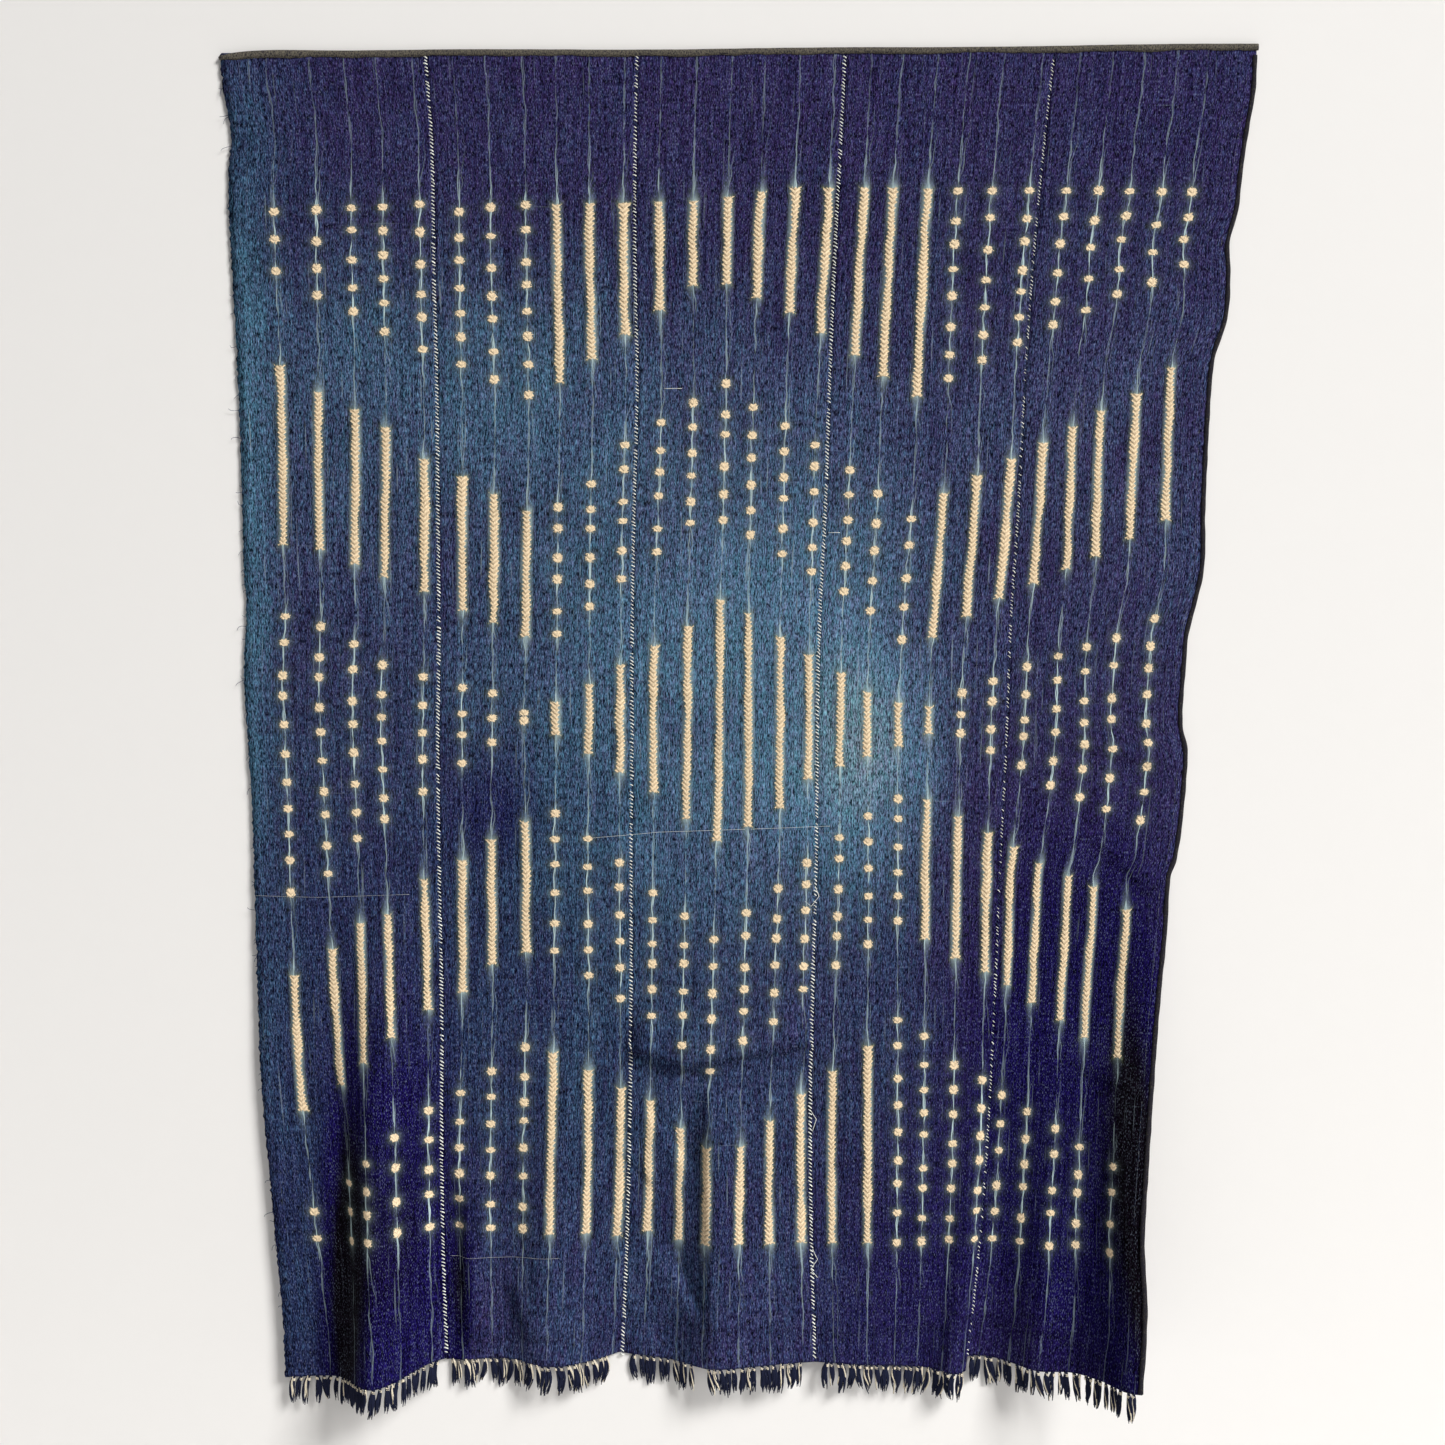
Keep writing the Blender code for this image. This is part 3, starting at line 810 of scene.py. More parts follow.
def grid_mesh(name: str, points: np.ndarray) -> bpy.types.Mesh:
    """Make a smooth mesh of quads from a grid of points, rows going down and columns going across.

    Args:
        name: The mesh's name.
        points: Rows by columns by three.

    Returns:
        The mesh, its faces looking to the viewer.
    """
    rows, columns = points.shape[:2]
    index = np.arange(rows * columns).reshape(rows, columns)
    quads = np.stack([index[:-1, :-1], index[1:, :-1], index[1:, 1:], index[:-1, 1:]], axis=-1)
    quads = quads.reshape(-1, 4)
    mesh = bpy.data.meshes.new(name)
    mesh.vertices.add(rows * columns)
    mesh.vertices.foreach_set("co", points.astype(np.float32).ravel())
    mesh.loops.add(quads.size)
    mesh.loops.foreach_set("vertex_index", quads.astype(np.int32).ravel())
    mesh.polygons.add(len(quads))
    mesh.polygons.foreach_set("loop_start", np.arange(0, quads.size, 4, dtype=np.int32))
    mesh.polygons.foreach_set("use_smooth", np.ones(len(quads), bool))
    mesh.update(calc_edges=True)
    mesh.validate()
    return mesh


def corner_field(mesh: bpy.types.Mesh, name: str, values: np.ndarray) -> None:
    """Store a vector for every face corner."""
    attribute = mesh.attributes.new(name, "FLOAT_VECTOR", "CORNER")
    attribute.data.foreach_set("vector", values.astype(np.float32).ravel())


def corner_pairs(mesh: bpy.types.Mesh, name: str, places: np.ndarray) -> None:
    """Store flat cloth coordinates, given for each grid point, as a UV map."""
    corners = np.stack([places[:-1, :-1], places[1:, :-1], places[1:, 1:], places[:-1, 1:]], axis=2)
    layer = mesh.uv_layers.new(name=name)
    layer.data.foreach_set("uv", corners.astype(np.float32).ravel())


def settle(piece: bpy.types.Object, slot: str, *nodes: str) -> bpy.types.Object:
    """Let a finished piece ride on the cloth's body and stand for its CAD nodes."""
    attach(piece, BODY)
    if nodes:
        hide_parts(*nodes)
    return piece


class Bench:
    """Adds nodes to one shader tree and joins them."""

    def __init__(self, tree: bpy.types.NodeTree) -> None:
        """Keep the tree that the nodes go into."""
        self.tree = tree

    def node(self, kind: str, **options: object) -> bpy.types.Node:
        """Add one node and set its options."""
        made = self.tree.nodes.new(kind)
        for option, value in options.items():
            setattr(made, option, value)
        return made

    def put(self, socket: bpy.types.NodeSocket, value: object) -> None:
        """Join a socket to another, or set its value."""
        if isinstance(value, bpy.types.NodeSocket):
            self.tree.links.new(value, socket)
        else:
            socket.default_value = value

    def maths(self, operation: str, *values: object) -> bpy.types.NodeSocket:
        """Return the result of one Math node."""
        made = self.node("ShaderNodeMath", operation=operation)
        for socket, value in zip(made.inputs, values):
            self.put(socket, value)
        return made.outputs[0]

    def plus(self, first: object, second: object) -> bpy.types.NodeSocket:
        """Return a sum."""
        return self.maths("ADD", first, second)

    def minus(self, first: object, second: object) -> bpy.types.NodeSocket:
        """Return a difference."""
        return self.maths("SUBTRACT", first, second)

    def times(self, first: object, second: object) -> bpy.types.NodeSocket:
        """Return a product."""
        return self.maths("MULTIPLY", first, second)

    def over(self, first: object, second: object) -> bpy.types.NodeSocket:
        """Return a quotient."""
        return self.maths("DIVIDE", first, second)

    def larger(self, first: object, second: object) -> bpy.types.NodeSocket:
        """Return the larger of two values."""
        return self.maths("MAXIMUM", first, second)

    def size(self, value: object) -> bpy.types.NodeSocket:
        """Return a value without its sign."""
        return self.maths("ABSOLUTE", value)

    def decay(self, value: object, reach: float) -> bpy.types.NodeSocket:
        """Return a fall from 1 that drops to about a third at each reach."""
        return self.maths("EXPONENT", self.over(value, -reach))

    def ease(
        self, value: object, low: float, high: float, to_low: float = 0.0, to_high: float = 1.0
    ) -> bpy.types.NodeSocket:
        """Return a soft step of a value between two levels."""
        made = self.node("ShaderNodeMapRange", interpolation_type="SMOOTHSTEP")
        for socket, given in zip(made.inputs, (value, low, high, to_low, to_high)):
            self.put(socket, given)
        return made.outputs[0]

    def mix(self, share: object, first: object, second: object, blend: str = "MIX") -> bpy.types.NodeSocket:
        """Return a mix of two colours."""
        made = self.node("ShaderNodeMix", data_type="RGBA", blend_type=blend)
        self.put(made.inputs[0], share)
        self.put(made.inputs[6], first)
        self.put(made.inputs[7], second)
        return made.outputs[2]

    def split(self, vector: bpy.types.NodeSocket) -> tuple:
        """Return the three numbers of a vector."""
        made = self.node("ShaderNodeSeparateXYZ")
        self.put(made.inputs[0], vector)
        return made.outputs[0], made.outputs[1], made.outputs[2]

    def join(self, first: object, second: object, third: object = 0.0) -> bpy.types.NodeSocket:
        """Return a vector of three numbers."""
        made = self.node("ShaderNodeCombineXYZ")
        for socket, value in zip(made.inputs, (first, second, third)):
            self.put(socket, value)
        return made.outputs[0]

    def noise(self, vector: bpy.types.NodeSocket, detail: float) -> bpy.types.NodeSocket:
        """Return a noise between about 0.2 and 0.8."""
        made = self.node("ShaderNodeTexNoise")
        self.put(made.inputs["Vector"], vector)
        self.put(made.inputs["Scale"], 1.0)
        self.put(made.inputs["Detail"], detail)
        self.put(made.inputs["Roughness"], 0.5)
        return made.outputs[0]

    def stretched(
        self, across: object, along: object, fine: float, long: float, seed: object, detail: float
    ) -> bpy.types.NodeSocket:
        """Return a noise with its own grain size across and along, in the units of its inputs."""
        vector = self.join(self.over(across, fine), self.over(along, long), seed)
        return self.noise(vector, detail)

    def swing(self, *grain: object) -> bpy.types.NodeSocket:
        """Return a stretched noise that swings about zero."""
        return self.minus(self.stretched(*grain), 0.5)


def new_group(name: str, inputs: dict, outputs: dict) -> tuple:
    """Start a shader group with named sockets.

    Args:
        name: The group's name.
        inputs: Socket name to its type, and its value if it is a number.
        outputs: Socket name to its type.

    Returns:
        The tree, its bench, its input node and its output node.
    """
    tree = bpy.data.node_groups.new(name, "ShaderNodeTree")
    for socket, (kind, value) in inputs.items():
        made = tree.interface.new_socket(socket, in_out="INPUT", socket_type=kind)
        if value is not None:
            made.default_value = value
    for socket, kind in outputs.items():
        tree.interface.new_socket(socket, in_out="OUTPUT", socket_type=kind)
    bench = Bench(tree)
    return tree, bench, bench.node("NodeGroupInput"), bench.node("NodeGroupOutput")


FLOAT = "NodeSocketFloat"
VECTOR = "NodeSocketVector"


def weave_group() -> bpy.types.NodeTree:
    """Make the warp-faced weave: how light each thread is, pale flecks and the threads' height.

    Returns:
        The group. Place is in millimetres, across and along the warp.
    """
    tree, bench, given, made = new_group(
        "warp_faced_weave",
        {"Place": (VECTOR, None), "Thread Width": (FLOAT, 1.1), "Contrast": (FLOAT, 1.1),
         "Seed": (FLOAT, 0.0)},
        {"Shade": FLOAT, "Fleck": FLOAT, "Wisp": FLOAT, "Hue": FLOAT, "Tint": FLOAT, "Height": FLOAT},
    )
    across, along, _ = bench.split(given.outputs["Place"])
    width = given.outputs["Thread Width"]
    seed = given.outputs["Seed"]
    thread = bench.over(across, width)
    contrast = given.outputs["Contrast"]
    fine = bench.stretched(thread, along, 1.1, 9.0, seed, 3.0)
    slub = bench.stretched(thread, along, 2.8, 60.0, seed, 2.0)
    speck = bench.stretched(thread, along, 0.75, 2.6, seed, 1.0)
    coarse = bench.stretched(across, along, 1.05, 6.0, seed, 1.0)
    total = bench.times(fine, 0.40)
    for noise, share in ((slub, 0.25), (speck, 0.50), (coarse, 0.60)):
        total = bench.plus(total, bench.times(noise, share))
    centred = bench.minus(total, 0.875)
    tint = bench.swing(across, along, 2.2, 7.0, 15.5, 2.0)
    bench.put(made.inputs["Tint"], tint)
    bench.put(made.inputs["Hue"], bench.minus(bench.plus(fine, coarse), 1.0))
    wisp = bench.ease(bench.stretched(across, along, 2.2, 90.0, 5.5, 1.0), 0.70, 0.80)
    pick_wisp = bench.ease(bench.stretched(across, along, 75.0, 2.2, 7.5, 1.0), 0.78, 0.86)
    bench.put(made.inputs["Wisp"], bench.larger(wisp, bench.times(pick_wisp, 0.6)))
    shade = bench.times(bench.times(centred, contrast), 6.6)
    bench.put(made.inputs["Shade"], bench.larger(bench.plus(1.0, shade), 0.12))
    fleck = bench.plus(speck, bench.times(slub, 0.3))
    bench.put(made.inputs["Fleck"], bench.ease(fleck, 0.72, 0.9))
    ridge = bench.maths("SINE", bench.times(thread, FULL_TURN))
    pick = bench.maths("SINE", bench.times(along, 3.7))
    height = bench.plus(bench.times(ridge, 0.5), bench.times(pick, 0.25))
    bench.put(made.inputs["Height"], bench.plus(height, fine))
    return tree


def resist_group() -> bpy.types.NodeTree:
    """Make the stitched resist: undyed marks with toothed edges, their halo, and pale lines beyond them.

    Returns:
        The group. Mark is (aside, along, half length) and Span (along, half length, kind), in millimetres.
    """
    tree, bench, given, made = new_group(
        "stitched_resist",
        {"Mark": (VECTOR, None), "Span": (VECTOR, None), "Place": (VECTOR, None),
         "Bar Half Width": (FLOAT, 3.35), "Tooth": (FLOAT, 2.0), "Chevron Pitch": (FLOAT, 4.7)},
        {"Resist": FLOAT, "Halo": FLOAT, "Shadow": FLOAT, "Line": FLOAT, "Chevron": FLOAT, "Height": FLOAT},
    )
    aside, along, half = bench.split(given.outputs["Mark"])
    reach, span_half, kind = bench.split(given.outputs["Span"])
    across, down, _ = bench.split(given.outputs["Place"])
    wide = bench.size(aside)
    far = bench.size(along)
    side = bench.maths("GREATER_THAN", aside, 0.0)
    column = bench.plus(bench.minus(across, aside), bench.times(side, 37.0))
    wander = bench.swing(column, down, 9.0, 34.0, 1.0, 1.0)
    ragged = bench.swing(column, down, 9.0, 1.7, 4.0, 1.0)
    slant = bench.plus(along, bench.times(wide, 0.8))
    slant = bench.plus(slant, bench.times(wander, 4.0))
    slant = bench.plus(slant, bench.times(side, 1.3))
    turn = bench.maths("FRACT", bench.over(slant, given.outputs["Chevron Pitch"]))
    saw = bench.times(bench.minus(turn, 0.5), given.outputs["Tooth"])
    inner = bench.minus(half, far)
    flare = bench.decay(inner, 2.6)
    flare = bench.times(bench.maths("MINIMUM", flare, 1.0), bench.minus(1.0, kind))
    width = bench.plus(given.outputs["Bar Half Width"], bench.times(wander, 6.5))
    width = bench.plus(width, bench.times(ragged, 2.8))
    width = bench.plus(width, bench.times(flare, 1.3))
    saw = bench.times(saw, bench.minus(1.0, bench.times(kind, 0.7)))
    width = bench.plus(width, bench.minus(saw, bench.times(kind, 0.3)))
    end = bench.swing(across, down, 1.5, 30.0, 8.0, 1.0)
    past_side = bench.minus(wide, width)
    past_end = bench.plus(bench.minus(far, half), bench.times(end, 4.6))
    wing = bench.times(bench.times(wide, wide), 0.022)
    past_end = bench.minus(past_end, bench.minus(wing, 0.3))
    outside = bench.larger(past_side, past_end)
    round_across = bench.maths("POWER", bench.over(wide, 4.5), 2.4)
    round_along = bench.maths("POWER", bench.over(far, half), 2.4)
    knot = bench.maths("POWER", bench.plus(round_across, round_along), 0.42)
    knot = bench.times(bench.minus(knot, 1.0), 3.4)
    torn = bench.swing(across, down, 1.7, 1.7, 18.0, 2.0)
    knot = bench.plus(knot, bench.times(torn, 5.0))
    outside = bench.plus(bench.times(outside, bench.minus(1.0, kind)), bench.times(knot, kind))
    resist = bench.ease(outside, -0.5, 0.45, 1.0, 0.0)
    bench.put(made.inputs["Resist"], resist)

    off = bench.larger(outside, 0.0)
    halo = bench.decay(off, 1.5)
    halo = bench.times(halo, bench.minus(1.0, bench.times(kind, 0.6)))
    bench.put(made.inputs["Halo"], halo)
    bench.put(made.inputs["Shadow"], bench.decay(off, 5.0))

    beyond = bench.larger(bench.minus(bench.size(reach), span_half), 0.0)
    sway = bench.swing(column, down, 60.0, 24.0, 2.0, 1.0)
    sway = bench.times(sway, 6.0)
    sway_other = bench.swing(column, down, 60.0, 20.0, 12.0, 1.0)
    sway_other = bench.times(sway_other, 7.0)
    fork = bench.times(beyond, 0.10)
    first = bench.ease(bench.size(bench.minus(aside, sway)), 0.2, 0.85, 1.0, 0.0)
    second = bench.minus(aside, bench.plus(sway_other, fork))
    second = bench.ease(bench.size(second), 0.15, 0.75, 1.0, 0.0)
    gate = bench.ease(bench.stretched(column, down, 30.0, 45.0, 21.0, 1.0), 0.42, 0.6)
    near = bench.decay(beyond, 26.0)
    strong = bench.plus(bench.times(near, 0.80), 0.20)
    fine = bench.ease(bench.stretched(column, down, 30.0, 60.0, 31.0, 1.0), 0.3, 0.6)
    first = bench.times(bench.times(first, strong), bench.plus(fine, 0.35))
    second = bench.times(bench.times(second, near), bench.times(gate, 0.8))
    pool = bench.ease(bench.stretched(column, down, 30.0, 90.0, 41.0, 1.0), 0.38, 0.62, 0.15, 0.75)
    fading = bench.decay(bench.larger(past_end, 0.0), 8.0)
    glow = bench.times(fading, bench.ease(wide, 0.5, 8.0, 1.0, 0.0))
    bloom = bench.decay(bench.larger(outside, 0.0), 2.2)
    bloom = bench.times(bench.times(bloom, kind), 0.16)
    glow = bench.times(glow, pool)
    glow = bench.times(glow, bench.minus(1.0, bench.times(kind, 0.7)))
    line = bench.larger(bench.larger(first, second), bench.larger(glow, bloom))
    bench.put(made.inputs["Line"], line)

    crease = bench.ease(bench.size(bench.minus(turn, 0.5)), 0.04, 0.36)
    bench.put(made.inputs["Chevron"], bench.larger(crease, bench.times(kind, 0.85)))
    bench.put(made.inputs["Height"], bench.times(crease, resist))
    return tree


@dataclass(frozen=True)
class IndigoFinish:
    """Hand-woven cotton dyed with indigo, its stitched marks left undyed."""

    deep: tuple = (0.022, 0.018, 0.070, 1.0)
    steel: tuple = (0.080, 0.130, 0.225, 1.0)
    teal_tint: tuple = (0.66, 1.14, 0.98, 1.0)
    violet_tint: tuple = (1.26, 0.88, 1.02, 1.0)
    ultramarine: tuple = (0.0055, 0.003, 0.050, 1.0)
    # painted shade: the near black laid where the deep channel runs highest, on fold flanks
    painted_shade: tuple = (0.0035, 0.0018, 0.0050, 1.0)
    worn: tuple = (0.175, 0.235, 0.305, 1.0)
    cream: tuple = (0.84, 0.67, 0.45, 1.0)
    cream_shadow: tuple = (0.62, 0.47, 0.30, 1.0)
    halo: tuple = (0.17, 0.20, 0.105, 1.0)
    shadow: tuple = (0.60, 0.60, 0.62, 1.0)
    line: tuple = (0.46, 0.60, 0.62, 1.0)
    fleck: tuple = (0.26, 0.32, 0.42, 1.0)
    wisp: tuple = (0.30, 0.38, 0.44, 1.0)
    roughness: float = 0.95
    specular: float = 0.03
    weave_bump: float = 0.35
    pleat_bump: float = 0.8

    def make(self, weave: bpy.types.NodeTree, resist: bpy.types.NodeTree) -> bpy.types.Material:
        """Build the dyed cotton.

        Args:
            weave: The shared group of the weave.
            resist: The shared group of the stitched marks.

        Returns:
            The material, which reads the sheet's own coordinates and attributes.
        """
        material = bpy.data.materials.new("indigo_cotton")
        material.use_nodes = True
        bench = Bench(material.node_tree)
        shader = material.node_tree.nodes["Principled BSDF"]
        shader.inputs["Roughness"].default_value = self.roughness
        shader.inputs["Specular IOR Level"].default_value = self.specular
        flat = bench.node("ShaderNodeUVMap", uv_map="cloth")
        place = bench.node("ShaderNodeVectorMath", operation="SCALE")
        bench.put(place.inputs[0], flat.outputs[0])
        place.inputs["Scale"].default_value = 1000.0
        where = place.outputs[0]
        across, down, _ = bench.split(where)
        mark = bench.node("ShaderNodeAttribute", attribute_name="mark")
        span = bench.node("ShaderNodeAttribute", attribute_name="span")
        tone = bench.node("ShaderNodeAttribute", attribute_name="tone")
        fade, green, deepen_and_painted_shade = bench.split(tone.outputs["Vector"])

        threads = bench.node("ShaderNodeGroup", node_tree=weave)
        bench.put(threads.inputs["Place"], where)
        marks = bench.node("ShaderNodeGroup", node_tree=resist)
        bench.put(marks.inputs["Mark"], mark.outputs["Vector"])
        bench.put(marks.inputs["Span"], span.outputs["Vector"])
        bench.put(marks.inputs["Place"], where)

        cloud = bench.swing(across, down, 70.0, 110.0, 3.0, 3.0)
        rain = bench.swing(across, down, 5.0, 160.0, 6.0, 3.0)
        picks = bench.swing(across, down, 160.0, 3.5, 9.0, 2.0)
        fading = bench.plus(fade, bench.times(cloud, 0.55))
        fading = bench.plus(fading, bench.times(rain, 0.55))
        fading = bench.plus(fading, bench.times(picks, 0.12))
        fading = bench.plus(fading, bench.times(threads.outputs["Hue"], 0.7))
        ground = bench.mix(bench.ease(fading, 0.0, 1.2), self.deep, self.steel)
        ground = bench.mix(bench.ease(fading, 1.0, 2.4), ground, self.worn)
        hue = bench.plus(green, bench.times(cloud, 0.6))
        hue = bench.plus(hue, bench.times(threads.outputs["Tint"], 2.4))
        tint = bench.mix(bench.ease(hue, -0.9, 0.9), self.violet_tint, self.teal_tint)
        ground = bench.mix(1.0, ground, tint, "MULTIPLY")
        # The deep channel deepens the dye and, where it runs highest, stands for painted shade.
        deeper_and_painted_shade = bench.plus(deepen_and_painted_shade, bench.times(cloud, 0.4))
        ground = bench.mix(bench.ease(deeper_and_painted_shade, 0.0, 1.3), ground, self.ultramarine)
        # Painted shade: near black where the deep channel runs highest, on fold flanks, beside seam 1 and
        # at the flared corner.
        ground = bench.mix(bench.ease(deeper_and_painted_shade, 1.5, 2.7), ground, self.painted_shade)
        shade = bench.join(threads.outputs["Shade"], threads.outputs["Shade"], threads.outputs["Shade"])
        ground = bench.mix(1.0, ground, shade, "MULTIPLY")
        ground = bench.mix(bench.times(threads.outputs["Fleck"], 0.35), ground, self.fleck)
        worn = bench.ease(fade, 0.0, 0.5, 0.22, 0.55)
        ground = bench.mix(bench.times(threads.outputs["Wisp"], worn), ground, self.wisp)
        ground = bench.mix(marks.outputs["Shadow"], ground, self.shadow, "MULTIPLY")
        speckled = bench.ease(threads.outputs["Shade"], 0.3, 1.7, 0.25, 0.95)
        ground = bench.mix(bench.times(marks.outputs["Halo"], speckled), ground, self.halo)
        ground = bench.mix(bench.times(marks.outputs["Line"], 0.8), ground, self.line)
        cream = bench.mix(marks.outputs["Chevron"], self.cream_shadow, self.cream)
        soft = bench.ease(threads.outputs["Shade"], -0.4, 1.6, 0.80, 1.12)
        cream = bench.mix(1.0, cream, bench.join(soft, soft, soft), "MULTIPLY")
        colour = bench.mix(marks.outputs["Resist"], ground, cream)
        bench.put(shader.inputs["Base Color"], colour)

        fine = bench.node("ShaderNodeBump")
        fine.inputs["Strength"].default_value = self.weave_bump
        fine.inputs["Distance"].default_value = 0.3 * MM
        bench.put(fine.inputs["Height"], threads.outputs["Height"])
        pleats = bench.node("ShaderNodeBump")
        pleats.inputs["Strength"].default_value = self.pleat_bump
        pleats.inputs["Distance"].default_value = 0.8 * MM
        bench.put(pleats.inputs["Height"], marks.outputs["Height"])
        bench.put(pleats.inputs["Normal"], fine.outputs[0])
        bench.put(shader.inputs["Normal"], pleats.outputs[0])
        return material


@dataclass(frozen=True)
class YarnFinish:
    """Cotton yarn, pale or dyed as its dye attribute says."""

    name: str
    pale: tuple
    dark: tuple
    grain: float = 0.35
    twist_pitch: float = 1.6
    roughness: float = 0.88
    specular: float = 0.15
    bump: float = 0.5

    def make(self) -> bpy.types.Material:
        """Build the yarn's material: two colours, a fine twist and slight unevenness."""
        material = bpy.data.materials.new(self.name)
        material.use_nodes = True
        bench = Bench(material.node_tree)
        shader = material.node_tree.nodes["Principled BSDF"]
        shader.inputs["Roughness"].default_value = self.roughness
        shader.inputs["Specular IOR Level"].default_value = self.specular
        dye = bench.node("ShaderNodeAttribute", attribute_name="dye")
        spot = bench.node("ShaderNodeTexCoord")
        x, y, z = bench.split(spot.outputs["Object"])
        place = bench.join(bench.times(x, 900.0), bench.times(y, 900.0), bench.times(z, 500.0))
        grain = bench.minus(bench.noise(place, 2.0), 0.5)
        share = bench.ease(bench.plus(dye.outputs["Fac"], bench.times(grain, 0.7)), 0.3, 0.7)
        colour = bench.mix(share, self.pale, self.dark)
        light = bench.plus(1.0, bench.times(grain, self.grain * 3.0))
        colour = bench.mix(1.0, colour, bench.join(light, light, light), "MULTIPLY")
        bench.put(shader.inputs["Base Color"], colour)
        twist = bench.plus(z, bench.times(x, 0.8))
        twist = bench.times(twist, FULL_TURN / MM / self.twist_pitch)
        bump = bench.node("ShaderNodeBump")
        bump.inputs["Strength"].default_value = self.bump
        bump.inputs["Distance"].default_value = 0.2 * MM
        bench.put(bump.inputs["Height"], bench.maths("SINE", twist))
        bench.put(shader.inputs["Normal"], bump.outputs[0])
        return material


def tube(path: list, radii: list, sides: int, flatten: float = 1.0) -> tuple:
    """Sweep a round tube along a path.

    Args:
        path: Points as vectors, in millimetres.
        radii: A radius for each point.
        sides: Sides of the tube.
        flatten: Depth of the section as a share of its width.

    Returns:
        Vertices and faces; the ends are closed.
    """
    vertices = []
    faces = []
    count = len(path)
    side_hint = Vector((1.0, 0.0, 0.0))
    for index, centre in enumerate(path):
        ahead = path[min(index + 1, count - 1)] - path[max(index - 1, 0)]
        ahead.normalize()
        first = side_hint - ahead * side_hint.dot(ahead)
        if first.length < 1e-4:
            first = ahead.orthogonal()
        first.normalize()
        side_hint = first
        second = ahead.cross(first)
        for side in range(sides):
            angle = 2.0 * math.pi * side / sides
            spread = first * math.cos(angle) + second * (math.sin(angle) * flatten)
            vertices.append(centre + spread * radii[index])
    for index in range(count - 1):
        for side in range(sides):
            here = index * sides + side
            beside = index * sides + (side + 1) % sides
            faces.append((here, beside, beside + sides, here + sides))
    faces.append(tuple(reversed(range(sides))))
    faces.append(tuple(range((count - 1) * sides, count * sides)))
    return vertices, faces


@dataclass
class MeshGatherer:
    """Gathers tubes into one mesh, each with its own dye."""

    vertices: list = field(default_factory=list)
    faces: list = field(default_factory=list)
    dyes: list = field(default_factory=list)

    def add(self, part: tuple, dye: float) -> None:
        """Add one tube's vertices and faces."""
        start = len(self.vertices)
        self.vertices.extend(part[0])
        self.faces.extend(tuple(start + corner for corner in face) for face in part[1])
        self.dyes.extend([dye] * len(part[0]))

    def make(self, name: str) -> bpy.types.Mesh:
        """Return the gathered mesh, in metres, smooth and facing outwards."""
        mesh = bpy.data.meshes.new(name)
        mesh.from_pydata([vertex * MM for vertex in self.vertices], [], self.faces)
        dye = mesh.attributes.new("dye", "FLOAT", "POINT")
        dye.data.foreach_set("value", np.array(self.dyes, np.float32))
        mesh.shade_smooth()
        return mesh

    def piece(self, name: str, slot: str, finish: bpy.types.Material) -> bpy.types.Object:
        """Return the gathered mesh as a finished piece."""
        mesh = self.make(name)
        mesh.materials.append(finish)
        LOG.info("%s: %d faces", name, len(mesh.polygons))
        return settle(put_in_scene(name, mesh), slot)


class Spot(NamedTuple):
    """Where one small piece lies, in metres, how it is turned and which piece it is."""

    point: Vector
    turn: Vector
    pick: int


